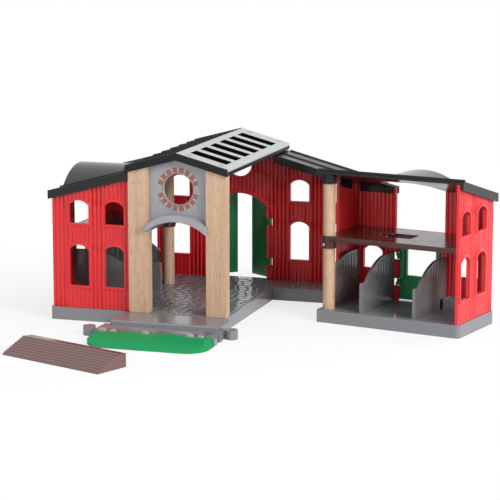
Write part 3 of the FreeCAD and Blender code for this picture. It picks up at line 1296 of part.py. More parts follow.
for feature in doc.Objects:
    if "Invalid" in feature.State or "Error" in feature.State:
        raise RuntimeError(f"{feature.Name} did not compute: {feature.State}")
for feature in NODES:
    if feature.Shape.isNull() or not feature.Shape.isValid() or not feature.Shape.Solids:
        raise RuntimeError(f"{feature.Label} has no valid solid")

os.makedirs("parts", exist_ok=True)
for feature in NODES:
    feature.Shape.exportStep(f"parts/{feature.Label}.step")
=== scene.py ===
"""Looks of the toy horse stable: finishes, soft edges, boards, paving and small pieces round the solids.

Everything is in metres, in the frame of the solids: X right, Y back, Z up.
"""
import json
import math
import random
import bmesh
import bpy
from mathutils import Matrix, Vector, noise
from mathutils.bvhtree import BVHTree

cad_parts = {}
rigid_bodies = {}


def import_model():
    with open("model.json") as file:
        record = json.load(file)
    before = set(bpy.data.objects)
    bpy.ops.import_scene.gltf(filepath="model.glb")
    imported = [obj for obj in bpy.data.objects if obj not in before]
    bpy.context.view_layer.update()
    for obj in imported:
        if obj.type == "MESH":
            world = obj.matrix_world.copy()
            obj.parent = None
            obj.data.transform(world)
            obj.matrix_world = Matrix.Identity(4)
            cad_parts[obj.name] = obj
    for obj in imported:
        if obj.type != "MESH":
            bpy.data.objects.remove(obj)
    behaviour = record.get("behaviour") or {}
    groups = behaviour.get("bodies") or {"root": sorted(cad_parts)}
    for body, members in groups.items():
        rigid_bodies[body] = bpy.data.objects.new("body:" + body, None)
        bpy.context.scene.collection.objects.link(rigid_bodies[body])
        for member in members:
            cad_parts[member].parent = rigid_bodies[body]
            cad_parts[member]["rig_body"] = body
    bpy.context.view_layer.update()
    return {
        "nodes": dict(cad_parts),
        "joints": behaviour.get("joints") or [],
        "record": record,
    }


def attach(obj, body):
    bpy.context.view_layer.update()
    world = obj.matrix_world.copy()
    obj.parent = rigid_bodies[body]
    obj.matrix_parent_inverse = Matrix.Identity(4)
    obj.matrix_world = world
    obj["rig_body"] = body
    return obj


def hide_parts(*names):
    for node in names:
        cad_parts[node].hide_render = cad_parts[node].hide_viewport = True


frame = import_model()
NODES = frame["nodes"]
JOINTS = {joint["name"]: joint for joint in frame["joints"]}
SLOT_OF = {piece["node"]: piece["material_slot"] for piece in frame["record"]["subparts"]}
MM = 0.001

# The right wing stands open: its turn is the travel that is left to close it.
WING_TURN = -math.radians(JOINTS["right_wing_hinge"]["range_deg"][0])
WING_PIVOT = Vector(JOINTS["right_wing_hinge"]["pos_m"])
TURNED_BODIES = ("right_wing", "right_stable_door")

# From millimetres on the closed right wing to the place of either wing.
SCALED = Matrix.Scale(MM, 4)
WING_SPIN = Matrix.Rotation(WING_TURN, 4, "Z")
SWUNG = Matrix.Translation(WING_PIVOT) @ WING_SPIN @ Matrix.Translation(-WING_PIVOT)
WINGS = {
    "right_wing": SWUNG @ SCALED,
    "left_wing": Matrix.Diagonal((-1, 1, 1, 1)) @ SCALED,
}


def srgb(red, green, blue):
    """Screen colour from 0 to 255 as the linear colour that shaders take."""
    values = []
    for value in (red, green, blue):
        part = value / 255
        values.append(part / 12.92 if part <= 0.04045 else ((part + 0.055) / 1.055) ** 2.4)
    return (*values, 1.0)


def toned(colour, factor):
    """A colour made darker or lighter."""
    return tuple(min(value * factor, 1.0) for value in colour[:3]) + (1.0,)


class Paint:
    """A material under construction: its shader and short calls that add nodes to it."""

    def __init__(self, name):
        self.material = bpy.data.materials.new(name)
        self.material.use_nodes = True
        self.tree = self.material.node_tree
        self.shader = self.tree.nodes["Principled BSDF"]
        self.place = self.add("TexCoord").outputs["Object"]

    def add(self, kind, inputs=None, **settings):
        """New node with its settings, its inputs set or linked."""
        made = self.tree.nodes.new("ShaderNode" + kind)
        for name, value in settings.items():
            setattr(made, name, value)
        for name, value in (inputs or {}).items():
            if isinstance(value, bpy.types.NodeSocket):
                self.tree.links.new(value, made.inputs[name])
            else:
                made.inputs[name].default_value = value
        return made

    def mapped(self, scale, turn=0.0):
        """Place on the object, turned back about Z and stretched."""
        turned = self.add("Mapping", {"Vector": self.place, "Rotation": (0, 0, -turn)})
        scaled = self.add("Mapping", {"Vector": turned.outputs["Vector"], "Scale": scale})
        return scaled.outputs["Vector"]

    def noise(self, vector, scale=1.0, detail=4.0, roughness=0.55):
        """Noise from 0 to 1 at a place."""
        values = {"Vector": vector, "Scale": scale, "Detail": detail, "Roughness": roughness}
        return self.add("TexNoise", values).outputs["Fac"]

    def ramp(self, factor, *stops):
        """Colours spread over a factor: stops are (position, colour)."""
        made = self.add("ValToRGB", {"Fac": factor})
        elements = made.color_ramp.elements
        while len(elements) < len(stops):
            elements.new(1.0)
        for element, (position, colour) in zip(elements, stops):
            element.position = position
            element.color = colour
        return made.outputs["Color"]

    def span(self, factor, low, high, start=0.0, stop=1.0):
        """Number that runs from low to high while the factor runs from start to stop."""
        values = {"Value": factor, "From Min": start, "From Max": stop, "To Min": low, "To Max": high}
        return self.add("MapRange", values).outputs["Result"]

    def blend(self, mode, factor, first, second):
        """Mix of two colours."""
        made = self.add("Mix", data_type="RGBA", blend_type=mode)
        for name, value in (("Factor", factor), ("A", first), ("B", second)):
            socket = [s for s in made.inputs if s.name == name and s.enabled][-1]
            if isinstance(value, bpy.types.NodeSocket):
                self.tree.links.new(value, socket)
            else:
                socket.default_value = value
        return [s for s in made.outputs if s.enabled][0]

    def bump(self, height, strength, distance):
        """Relief on the surface."""
        values = {"Height": height, "Strength": strength, "Distance": distance}
        self.set("Normal", self.add("Bump", values).outputs["Normal"])

    def set(self, name, value):
        """Set or link an input of the shader."""
        if isinstance(value, bpy.types.NodeSocket):
            self.tree.links.new(value, self.shader.inputs[name])
        else:
            self.shader.inputs[name].default_value = value


def plastic(name, colour, turn, grain, contrast, gloss, relief, shine=0.5):
    """Moulded plastic: colour with cloudy and streaky tones, uneven gloss and a fine relief.

    grain is the streaks' fineness along X, Y and Z, contrast their strength, gloss the
    smoothest and roughest patch, relief the bump's strength, shine the mirror share.
    """
    paint = Paint(name)
    streak = paint.noise(paint.mapped(grain, turn), detail=6.0, roughness=0.65)
    cloud = paint.noise(paint.place, scale=38.0, detail=3.0)
    dark = toned(colour, 1 - contrast)
    light = toned(colour, 1 + contrast)
    tone = paint.ramp(streak, (0.3, dark), (0.52, colour), (0.75, light))
    shade = paint.ramp(cloud, (0.3, toned((1, 1, 1), 1 - contrast / 2)), (0.7, (1, 1, 1, 1)))
    paint.set("Base Color", paint.blend("MULTIPLY", 1.0, tone, shade))
    paint.set("Roughness", paint.span(cloud, gloss[0], gloss[1], 0.3, 0.7))
    paint.set("Specular IOR Level", shine)
    paint.bump(streak, relief, 0.0004)
    return paint.material


def red_plastic(name, turn):
    """Red boards with upright grain."""
    return plastic(name, srgb(212, 32, 38), turn, (900, 900, 30), 0.07, (0.28, 0.4), 0.08)


def grey_plastic(name, turn):
    """Mid grey floor mouldings."""
    return plastic(name, srgb(124, 125, 129), turn, (700, 700, 700), 0.05, (0.1, 0.18), 0.04)


def dark_grey_plastic(name, turn):
    """Stall dividers and troughs."""
    return plastic(name, srgb(112, 110, 112), turn, (800, 800, 60), 0.08, (0.2, 0.3), 0.08)


def black_plastic(name, turn):
    """Glossy black roofs."""
    return plastic(name, srgb(24, 24, 25), turn, (500, 500, 500), 0.25, (0.18, 0.28), 0.08, 0.35)


# Where the skylight covers the main roof: there the roof gets painted shade, near black.
COVER_LEFT = 3.0 * MM
COVER_FRONT = 1.5 * MM
COVER_FADE = 0.5 * MM


def matt_black_plastic(name):
    """Black main roof, with painted shade where the skylight covers it: near black there and without
    shine, so that the slots look deep.
    """
    paint = Paint(name)
    grain = paint.noise(paint.place, scale=600.0)
    place = paint.add("SeparateXYZ", {"Vector": paint.place}).outputs
    right = paint.span(place["X"], 0.0, 1.0, COVER_LEFT, COVER_LEFT + COVER_FADE)
    behind = paint.span(place["Y"], 0.0, 1.0, COVER_FRONT, COVER_FRONT + COVER_FADE)
    shade_under_skylight = paint.add("Math", {0: right, 1: behind}, operation="MULTIPLY").outputs[0]
    tone = paint.ramp(grain, (0.3, srgb(28, 28, 30)), (0.7, srgb(38, 38, 40)))
    # Painted shade: the roof under the skylight is near black, as the deep shadow seen through its
    # slots.
    paint.set("Base Color", paint.blend("MIX", shade_under_skylight, tone, srgb(9, 9, 10)))
    paint.set("Roughness", paint.span(grain, 0.3, 0.45, 0.3, 0.7))
    paint.set("Specular IOR Level", paint.span(shade_under_skylight, 0.12, 0.0))
    paint.bump(grain, 0.12, 0.0003)
    return paint.material


# The skylight slopes as the roof does; below a thin pale top its recesses get painted shade, and on the
# lip at the eave the pale grey reaches further down above a black lower edge.
SKYLIGHT_FALL = 0.268
# Depth below the top where the painted shade of the recesses begins.
RECESS_SHADE_DEPTH = 0.45 * MM
SKYLIGHT_LIP = 2.4 * MM
LIP_START = 46.0 * MM
LIP_FADE = 1.0 * MM
DARK_FADE = 0.1 * MM


def skylight_grey_plastic(name):
    """Pale grey top of the skylight, with painted shade that makes its recesses near black, and a black
    lower edge on the lip that stands for the black eave below it.
    """
    paint = Paint(name)
    grain = paint.noise(paint.place, scale=1500.0)
    place = paint.add("SeparateXYZ", {"Vector": paint.place}).outputs
    fall = paint.add("Math", {0: place["X"], 1: SKYLIGHT_FALL}, operation="MULTIPLY").outputs[0]
    level = paint.add("Math", {0: place["Z"], 1: fall}, operation="ADD").outputs[0]
    corners = NODES["skylight_plate"].data.vertices
    top = max(corner.co.z + SKYLIGHT_FALL * corner.co.x for corner in corners)
    recess_shade_level, lip = top - RECESS_SHADE_DEPTH, top - SKYLIGHT_LIP
    border = paint.span(place["X"], recess_shade_level, lip, LIP_START, LIP_START + LIP_FADE)
    over = paint.add("Math", {0: level, 1: border}, operation="SUBTRACT").outputs[0]
    upper = paint.span(over, 0.0, 1.0, 0.0, DARK_FADE)
    tone = paint.ramp(grain, (0.3, srgb(166, 166, 168)), (0.7, srgb(178, 179, 181)))
    # Painted shade: below the pale top the recesses are near black as their shadow; on the lip the same
    # black stands for the black eave below it.
    paint.set("Base Color", paint.blend("MIX", upper, srgb(20, 20, 21), tone))
    paint.set("Roughness", paint.span(grain, 0.35, 0.5, 0.3, 0.7))
    paint.set("Specular IOR Level", paint.span(upper, 0.1, 0.5))
    paint.bump(grain, 0.2, 0.0004)
    return paint.material


def smoke_plastic(name, turn):
    """Smoky glossy dormers."""
    return plastic(name, srgb(58, 57, 58), turn, (300, 300, 300), 0.1, (0.12, 0.2), 0.05, 0.4)


def pale_grey_plastic(name, turn):
    """Cool grey gable and arch hood."""
    return plastic(name, srgb(148, 150, 155), turn, (900, 900, 900), 0.05, (0.3, 0.42), 0.12)


def light_grey_plastic(name, turn):
    """Pale grey mouldings with a fine moulded texture."""
    return plastic(name, srgb(172, 173, 175), turn, (1500, 1500, 1500), 0.07, (0.35, 0.5), 0.2)


def green_plastic(name, turn):
    """Dark green planked doors."""
    return plastic(name, srgb(34, 130, 76), turn, (700, 700, 60), 0.12, (0.28, 0.42), 0.15)


def brown_plastic(name, turn):
    """Glossy dark brown loft floors."""
    return plastic(name, srgb(66, 32, 27), turn, (500, 40, 500), 0.16, (0.12, 0.24), 0.12)


def ramp_brown_plastic(name, turn):
    """Mid brown loading ramp."""
    return plastic(name, srgb(112, 82, 79), turn, (300, 900, 900), 0.1, (0.16, 0.28), 0.1)


def bank_green_plastic(name, turn):
    """Grass green bank with a soft mottled surface."""
    return plastic(name, srgb(6, 141, 80), turn, (420, 420, 420), 0.12, (0.38, 0.52), 0.3, 0.25)


def stone_grey_plastic(name, turn):
    """Speckled stones on the bank."""
    return plastic(name, srgb(150, 146, 150), turn, (600, 600, 600), 0.3, (0.5, 0.7), 0.7)


def brick_print(name, turn):
    """Printed bricks, each a little patchy."""
    return plastic(name, srgb(150, 90, 76), turn, (900, 900, 900), 0.18, (0.45, 0.6), 0.5)


def beech_wood(name, turn):
    """Pale beech with upright grain and short dark pores."""
    paint = Paint(name)
    bands = paint.noise(paint.mapped((170, 170, 7), turn), detail=5.0, roughness=0.6)
    fibres = paint.noise(paint.mapped((1500, 1500, 45), turn), detail=3.0)
    pores = paint.noise(paint.mapped((1700, 1700, 110), turn), detail=1.0)
    tone = paint.ramp(
        bands, (0.25, srgb(186, 150, 120)), (0.5, srgb(199, 166, 137)), (0.75, srgb(209, 179, 152))
    )
    fibre = paint.ramp(fibres, (0.3, toned((1, 1, 1), 0.84)), (0.65, (1, 1, 1, 1)))
    grained = paint.blend("MULTIPLY", 1.0, tone, fibre)
    dashes = paint.span(pores, 0.8, 0.0, 0.31, 0.4)
    paint.set("Base Color", paint.blend("MIX", dashes, grained, srgb(150, 108, 78)))
    paint.set("Roughness", paint.span(fibres, 0.42, 0.58, 0.3, 0.7))
    paint.bump(fibres, 0.2, 0.0003)
    return paint.material


def brushed_steel(name, turn):
    """Brushed steel rivets."""
    paint = Paint(name)
    lines = paint.noise(paint.mapped((4000, 4000, 300), turn), detail=3.0)
    paint.set("Base Color", paint.ramp(lines, (0.3, srgb(170, 172, 176)), (0.7, srgb(225, 227, 230))))
    paint.set("Metallic", 1.0)
    paint.set("Roughness", paint.span(lines, 0.2, 0.36, 0.3, 0.7))
    paint.bump(lines, 0.1, 0.0002)
    return paint.material


def paving(name, turn):
    """Glossy grey paving of the hall, a little uneven from stone to stone."""
    return plastic(name, srgb(122, 123, 126), turn, (160, 160, 160), 0.16, (0.05, 0.14), 0.06)


MAKERS = (
    red_plastic, grey_plastic, dark_grey_plastic, black_plastic, smoke_plastic, pale_grey_plastic,
    light_grey_plastic, green_plastic, brown_plastic, ramp_brown_plastic, bank_green_plastic,
    stone_grey_plastic, brick_print, beech_wood, brushed_steel, paving,
)
ROOF_MAKERS = (matt_black_plastic, skylight_grey_plastic)
STRAIGHT = {maker.__name__: maker(maker.__name__, 0.0) for maker in MAKERS}
STRAIGHT.update({maker.__name__: maker(maker.__name__) for maker in ROOF_MAKERS})
TURNED = {maker.__name__: maker(maker.__name__ + "_turned", WING_TURN) for maker in MAKERS}


def finish_of(slot, body):
    """The material of a slot, with its grain turned for the open wing."""
    return (TURNED if body in TURNED_BODIES else STRAIGHT)[slot]


def new_object(name, shape, body, matrix=SCALED):
    """Object from a bmesh in millimetres, moved into place, that rides on a body."""
    shape.transform(matrix)
    bmesh.ops.recalc_face_normals(shape, faces=shape.faces)
    mesh = bpy.data.meshes.new(name)
    shape.to_mesh(mesh)
    shape.free()
    made = bpy.data.objects.new(name, mesh)
    bpy.context.scene.collection.objects.link(made)
    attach(made, body)
    return made


def new_piece(name, shape, body, slot, matrix=SCALED, finish=None):
    """Piece of the stable with the finish of a slot, or with another finish of that colour."""
    piece = new_object(name, shape, body, matrix)
    piece.data.materials.append(finish_of(finish or slot, body))
    return piece


# Soft edges

EDGE_ROUND = 0.35 * MM
EDGE_ANGLE = math.radians(35)
WELD_REACH = 0.002 * MM


def soften_edges(piece, width=EDGE_ROUND, cutter=None):
    """Small rounds on all hard edges, so that they catch the light, then grooves if there are any."""
    weld = piece.modifiers.new("weld", "WELD")
    weld.merge_threshold = WELD_REACH
    bevel = piece.modifiers.new("edge", "BEVEL")
    bevel.width = width
    bevel.segments = 2
    bevel.limit_method = "ANGLE"
    bevel.angle_limit = EDGE_ANGLE
    bevel.use_clamp_overlap = True
    if cutter:
        grooves = piece.modifiers.new("grooves", "BOOLEAN")
        grooves.operation = "DIFFERENCE"
        grooves.solver = GROOVE_SOLVER
        grooves.object = cutter
    normal = piece.modifiers.new("normals", "WEIGHTED_NORMAL")
    normal.keep_sharp = False


# Grooves between the boards of the walls and the planks of the doors

GROOVE_SOLVER = "MANIFOLD"
BOARD_PITCH = 4.1 * MM
BOARD_GROOVE = 0.45 * MM
PLANK_PITCH = 4.2 * MM
PLANK_LEAN = math.radians(35)
GROOVE_WIDTH = 0.65 * MM
GROOVE_DEPTH = 0.6 * MM
GROOVE_STEP = 0.5 * MM
GROOVE_LEAST = 2.0 * MM
GROOVE_PAST = 0.7 * MM
RAY_LIFT = 4.0 * MM
ON_FACE = 0.02 * MM


def add_groove(shape, start, end, normal, width, depth=GROOVE_DEPTH):
    """A wedge from start to end on a face, as long as the groove that it cuts."""
    side = (end - start).cross(normal).normalized() * width
    corners = []
    for place in (start, end):
        corners.append(shape.verts.new(place + side + normal * depth))
        corners.append(shape.verts.new(place - side + normal * depth))
        corners.append(shape.verts.new(place - normal * depth))
    for face in ((0, 1, 2), (3, 5, 4), (0, 3, 4, 1), (1, 4, 5, 2), (2, 5, 3, 0)):
        shape.faces.new([corners[index] for index in face])


def flat_sides(mesh):
    """Normal and offset of the largest upright face of a plate and of the one behind it."""
    sides = {}
    for face in mesh.polygons:
        if abs(face.normal.z) < 0.01:
            offset = face.normal.dot(face.center)
            key = (round(face.normal.x, 1), round(face.normal.y, 1), round(offset / MM, 1))
            area, normal, total = sides.get(key, (0.0, Vector(), 0.0))
            sides[key] = (area + face.area, normal + face.normal * face.area, total + offset * face.area)
    ranked = sorted(sides.values(), key=lambda side: -side[0])
    front = ranked[0]
    back = next(side for side in ranked if side[1].dot(front[1]) < 0)
    return [(normal.normalized(), total / area) for area, normal, total in (front, back)]


def face_state(tree, place, normal):
    """Whether a face lies at a place: 0 if it does, 1 if something stands out there, else -1."""
    distance = tree.ray_cast(place + normal * RAY_LIFT, -normal)[3]
    if distance is None or distance > RAY_LIFT + ON_FACE:
        return -1
    return 1 if distance < RAY_LIFT - ON_FACE else 0


def open_runs(tree, start, along, across, normal, length):
    """Stretches of a line where the face lies bare over a groove's width, as start and end."""
    states = []
    for index in range(math.ceil(length / GROOVE_STEP) + 2):
        place = start + along * ((index - 1) * GROOVE_STEP)
        shifts = (-GROOVE_WIDTH, 0, GROOVE_WIDTH)
        near = [face_state(tree, place + across * shift, normal) for shift in shifts]
        states.append(1 if 1 in near else min(near))
    runs = []
    first = None
    for index, state in enumerate(states + [-1]):
        if state == 0 and first is None:
            first = index
        if state != 0 and first is not None:
            before = states[first - 1] if first else -1
            low = (first - 1) * GROOVE_STEP - (GROOVE_PAST if before < 0 else 0)
            high = (index - 2) * GROOVE_STEP + (GROOVE_PAST if state < 0 else 0)
            if high - low > GROOVE_LEAST:
                runs.append((low, high))
            first = None
    return runs


def groove_cutter(name, pitch, lean=0.0, width=GROOVE_WIDTH):
    """Hidden wedges that cut grooves into both sides of a wall or door, round all that stands out."""
    mesh = NODES[name].data
    points = [vertex.co.copy() for vertex in mesh.vertices]
    tree = BVHTree.FromPolygons(points, [tuple(face.vertices) for face in mesh.polygons])
    shape = bmesh.new()
    for normal, offset in flat_sides(mesh):
        level = Vector((0, 0, 1)).cross(normal)
        along = Vector((0, 0, 1)) * math.cos(lean) + level * math.sin(lean)
        across = along.cross(normal)
        reach = [across.dot(point) for point in points]
        rise = [along.dot(point) for point in points]
        count = int((max(reach) - min(reach)) / pitch)
        first = (max(reach) + min(reach) - (count - 1) * pitch) / 2
        for index in range(count):
            start = normal * offset + across * (first + index * pitch) + along * min(rise)
            for low, high in open_runs(tree, start, along, across, normal, max(rise) - min(rise)):
                add_groove(shape, start + along * low, start + along * high, normal, width)
    cutter = new_object(name + "_grooves", shape, NODES[name]["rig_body"], Matrix())
    cutter.hide_render = True
    cutter.display_type = "WIRE"
    return cutter


PLANKED = {
    "back_door_left": PLANK_LEAN, "back_door_right": -PLANK_LEAN,
    "left_stable_door": 0.0, "right_stable_door": 0.0,
}
NODE_FINISH = {
    "main_roof": "matt_black_plastic", "skylight_plate": "skylight_grey_plastic",
    "left_wing_dormer": "smoke_plastic", "right_wing_dormer": "smoke_plastic",
    "gable_panel": "pale_grey_plastic", "arch_hood": "pale_grey_plastic",
}
for name, piece in NODES.items():
    piece.data.materials.clear()
    finish = NODE_FINISH.get(name, SLOT_OF[name])
    piece.data.materials.append(finish_of(finish, piece["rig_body"]))
    if name in PLANKED:
        soften_edges(piece, cutter=groove_cutter(name, PLANK_PITCH, PLANKED[name]))
    elif SLOT_OF[name] == "red_plastic":
        soften_edges(piece, cutter=groove_cutter(name, BOARD_PITCH, width=BOARD_GROOVE))
    else:
        soften_edges(piece)

# Raised window frames, the band over the back doorway and the rim of the gable window, in millimetres

FRAME_WIDTH = 2.2
FRAME_PROUD = 0.6
FRAME_SUNK = 0.3
BACK_WALL = (187.1, 190.3)
WINDOW_HALF = 9.7
WINDOW_RISE = 4.8
WINDOW_MIDDLES = (-97.0, -62.2, 62.2, 97.0)
WINDOW_LEVELS = ((91.9, 108.5), (33.3, 66.8))
OUTER_WALL = 123.6
SIDE_WINDOWS = (27.0, 125.0)
SIDE_HALF = 10.0
SIDE_LEVEL = (41.0, 58.0)
DOOR_HALF = 28.2
DOOR_SPRING = 84.2
DOOR_RISE = 13.4
BAND_WIDTH = 4.5
ARC_STEPS = 14


def arch_outline(middle, half, sill, spring, rise, grow):
    """Outline of an arched window in its wall, made larger all round."""
    radius = (half * half + rise * rise) / (2 * rise)
    centre = spring + rise - radius
    turn = math.asin((half + grow) / (radius + grow))
    points = [(middle - half - grow, sill - grow), (middle + half + grow, sill - grow)]
    for step in range(ARC_STEPS + 1):
        angle = turn - 2 * turn * step / ARC_STEPS
        out = radius + grow
        points.append((middle + out * math.sin(angle), centre + out * math.cos(angle)))
    return points


def add_band(shape, inner, outer, spread, low, high, closed=True):
    """Band between two outlines, from low to high across its wall; spread puts a point in space."""
    rings = []
    for outline, level in ((inner, low), (outer, low), (outer, high), (inner, high)):
        rings.append([shape.verts.new(spread(point, level)) for point in outline])
    count = len(inner)
    for index in range(count if closed else count - 1):
        after = (index + 1) % count
        for ring, following in zip(rings, rings[1:] + rings[:1]):
            shape.faces.new((ring[index], ring[after], following[after], following[index]))
    if not closed:
        for index in (0, count - 1):
            shape.faces.new([ring[index] for ring in rings])


def on_back_wall(point, level):
    """Place of a point of the back wall, with its distance to the back."""
    return (point[0], level, point[1])


def on_outer_wall(point, level):
    """Place of a point of a wing's outer wall, with its distance outward."""
    return (level, point[0], point[1])


def window_frames():
    """Frames round the windows of the back wall, inside and out, and of the wings' sides."""
    for name, low, high in (
        ("inside", BACK_WALL[0] - FRAME_PROUD, BACK_WALL[0] + FRAME_SUNK),
        ("outside", BACK_WALL[1] - FRAME_SUNK, BACK_WALL[1] + FRAME_PROUD),
    ):
        shape = bmesh.new()
        for middle in WINDOW_MIDDLES:
            for sill, spring in WINDOW_LEVELS:
                size = (middle, WINDOW_HALF, sill, spring, WINDOW_RISE)
                inner, outer = (arch_outline(*size, grow) for grow in (0.0, FRAME_WIDTH))
                add_band(shape, inner, outer, on_back_wall, low, high)
        soften_edges(new_piece(f"back_window_frames_{name}", shape, "building", "red_plastic"))
    for body, matrix in WINGS.items():
        shape = bmesh.new()
        for middle in SIDE_WINDOWS:
            size = (middle, SIDE_HALF, *SIDE_LEVEL, WINDOW_RISE)
            inner, outer = (arch_outline(*size, grow) for grow in (0.0, FRAME_WIDTH))
            low = OUTER_WALL - FRAME_SUNK
            add_band(shape, inner, outer, on_outer_wall, low, OUTER_WALL + FRAME_PROUD)
        soften_edges(new_piece(f"{body}_side_frames", shape, body, "red_plastic", matrix))


def door_band():
    """Smooth band round the arch of the back doorway, on the side of the hall."""
    inner, outer = (
        arch_outline(0.0, DOOR_HALF, 0.0, DOOR_SPRING, DOOR_RISE, grow)[2:] for grow in (0.3, BAND_WIDTH)
    )
    shape = bmesh.new()
    low = BACK_WALL[0] - FRAME_PROUD
    add_band(shape, inner, outer, on_back_wall, low, BACK_WALL[0] + FRAME_SUNK, closed=False)
    soften_edges(new_piece("back_door_band", shape, "building", "red_plastic"))


GABLE_FACE = 5.2
GABLE_WINDOW = 127.7
RIM_RADII = (14.2, 15.4)
MORTAR_RADII = (15.3, 19.7)
MORTAR_HALF = 81.0
MORTAR_PROUD = 0.15
RIM_STEPS = 48


def arc_outline(radius, middle, half):
    """Arc about the round window of the gable, as points of its face."""
    points = []
    for step in range(RIM_STEPS + 1):
        angle = math.radians(middle - half + 2 * half * step / RIM_STEPS)
        points.append((radius * math.sin(angle), GABLE_WINDOW + radius * math.cos(angle)))
    return points


def gable_rim():
    """Pale mortar between the bricks and a smooth rim round the window of the gable."""
    shape = bmesh.new()
    for middle in (0.0, 180.0):
        inner, outer = (arc_outline(radius, middle, MORTAR_HALF) for radius in MORTAR_RADII)
        low = GABLE_FACE - MORTAR_PROUD
        add_band(shape, inner, outer, on_back_wall, low, GABLE_FACE + FRAME_SUNK, closed=False)
    new_piece("gable_mortar", shape, "building", "light_grey_plastic")
    shape = bmesh.new()
    inner, outer = (arc_outline(radius, 0.0, 180.0)[:-1] for radius in RIM_RADII)
    add_band(shape, inner, outer, on_back_wall, GABLE_FACE - FRAME_PROUD, GABLE_FACE + FRAME_SUNK)
    soften_edges(new_piece("gable_window_rim", shape, "building", "light_grey_plastic"))


window_frames()
door_band()
gable_rim()

# Paving of the hall and of the back strip, in millimetres

FLOOR_TOP = 12.0
PAVED = (
    (-46.2, 46.2, 12.4, 146.4),
    (-26.8, 26.8, -1.4, 11.6),
    (-119.4, 119.4, 147.6, 186.2),
)
STONE_ROW = 8.6
STONE_LONG = 11.5
STONE_LOOSE = 0.22
STONE_JOINT = 0.35
STONE_RINGS = ((0.0, -0.2), (0.25, 0.2), (1.3, 0.4))
STONE_CORNER = 1.1
STONE_TILT = 0.05


def add_stone(shape, left, right, front, back, rng):
    """A paving stone with cut corners, a rounded edge and a slight tilt of its own."""
    tilt_x = rng.uniform(-STONE_TILT, STONE_TILT)
    tilt_y = rng.uniform(-STONE_TILT, STONE_TILT)
    rings = []
    for inset, rise in STONE_RINGS:
        low_x, high_x = left + inset, right - inset
        low_y, high_y = front + inset, back - inset
        cut = STONE_CORNER
        plan = (
            (low_x + cut, low_y), (high_x - cut, low_y), (high_x, low_y + cut), (high_x, high_y - cut),
            (high_x - cut, high_y), (low_x + cut, high_y), (low_x, high_y - cut), (low_x, low_y + cut),
        )
        ring = []
        for x, y in plan:
            u = (2 * x - left - right) / (right - left)
            v = (2 * y - front - back) / (back - front)
            height = FLOOR_TOP + rise + (tilt_x * u + tilt_y * v if rise > 0 else 0.0)
            ring.append(shape.verts.new((x, y, height)))
        rings.append(ring)
    for ring, inner in zip(rings, rings[1:]):
        for index in range(len(ring)):
            after = (index + 1) % len(ring)
            shape.faces.new((ring[index], ring[after], inner[after], inner[index])).smooth = True
    shape.faces.new(rings[-1]).smooth = True
    shape.faces.new(rings[0][::-1])


def pave():
    """Rows of paving stones over the floors of the hall."""
    rng = random.Random(7)
    shape = bmesh.new()
    for left, right, front, back in PAVED:
        rows = max(1, round((back - front) / STONE_ROW))
        depth = (back - front) / rows
        for row in range(rows):
            edge = left - (row % 2) * STONE_LONG / 2
            while edge < right - STONE_LONG / 3:
                end = edge + STONE_LONG * (1 + rng.uniform(-STONE_LOOSE, STONE_LOOSE))
                end = right if right - end < STONE_LONG / 3 else end
                start = max(edge, left)
                if end - start > STONE_LONG / 4:
                    low = front + row * depth
                    add_stone(shape, start, end - STONE_JOINT, low, low + depth - STONE_JOINT, rng)
                edge = end
    new_piece("hall_paving", shape, "building", "grey_plastic", finish="paving")


pave()

# Rocks on the bank: middle along and across, length, depth and height, in millimetres

BANK_TOP = 8.6
ROCKS = (
    (-47.5, -66.4, 9.6, 6.4, 3.4),
    (-37.3, -66.4, 7.7, 5.1, 2.7),
    (-6.8, -66.4, 8.6, 5.8, 3.1),
    (35.0, -66.4, 9.6, 6.4, 3.4),
    (45.2, -66.4, 7.2, 4.8, 2.6),
)
ROCK_SIZE = 0.93
ROCK_ROUGH = 0.132
ROCK_CHIP = 0.03
ROCK_BOXY = 0.35
ROCK_LARGEST = 1.08
ROCK_FOOT = -0.1
ROCK_SUNK = 0.3


def lay_rocks():
    """Weathered rocks in place of the plain blocks."""
    shape = bmesh.new()
    for number, (x, y, length, depth, height) in enumerate(ROCKS):
        made = bmesh.ops.create_icosphere(shape, subdivisions=4, radius=1.0)
        for vertex in made["verts"]:
            way = vertex.co.normalized()
            seed = Vector((number * 7.3, 2.1, 5.7))
            broad = noise.cell_vector(way * 1.6 + seed).dot(way)
            fine = noise.noise(way * 2.2 + seed) + 0.4 * noise.noise(way * 5.5 + seed)
            size = ROCK_SIZE + ROCK_ROUGH * fine + ROCK_CHIP * broad
            boxy = max(abs(way.x), abs(way.y), abs(way.z)) ** -ROCK_BOXY
            place = way * min(size * boxy, ROCK_LARGEST)
            lift = max(place.z, ROCK_FOOT) * height - ROCK_SUNK
            vertex.co = (x + place.x * length / 2, y + place.y * depth / 2, BANK_TOP + lift)
    for face in shape.faces:
        face.smooth = True
    rocks = new_piece("bank_rocks", shape, "building", "stone_grey_plastic")
    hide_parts("bank_stones")


lay_rocks()

# Steel rivet on the loft collar of each post, in millimetres on the closed right wing

COLLAR_MIDDLE = (58.0, 139.0, 72.7)
COLLAR_RADIUS = 7.2
RIVET_WAY = math.radians(160)
RIVET_PROFILE = ((1.5, -0.5), (1.5, 0.3), (1.25, 0.6), (0.7, 0.8))
RIVET_SIDES = 24


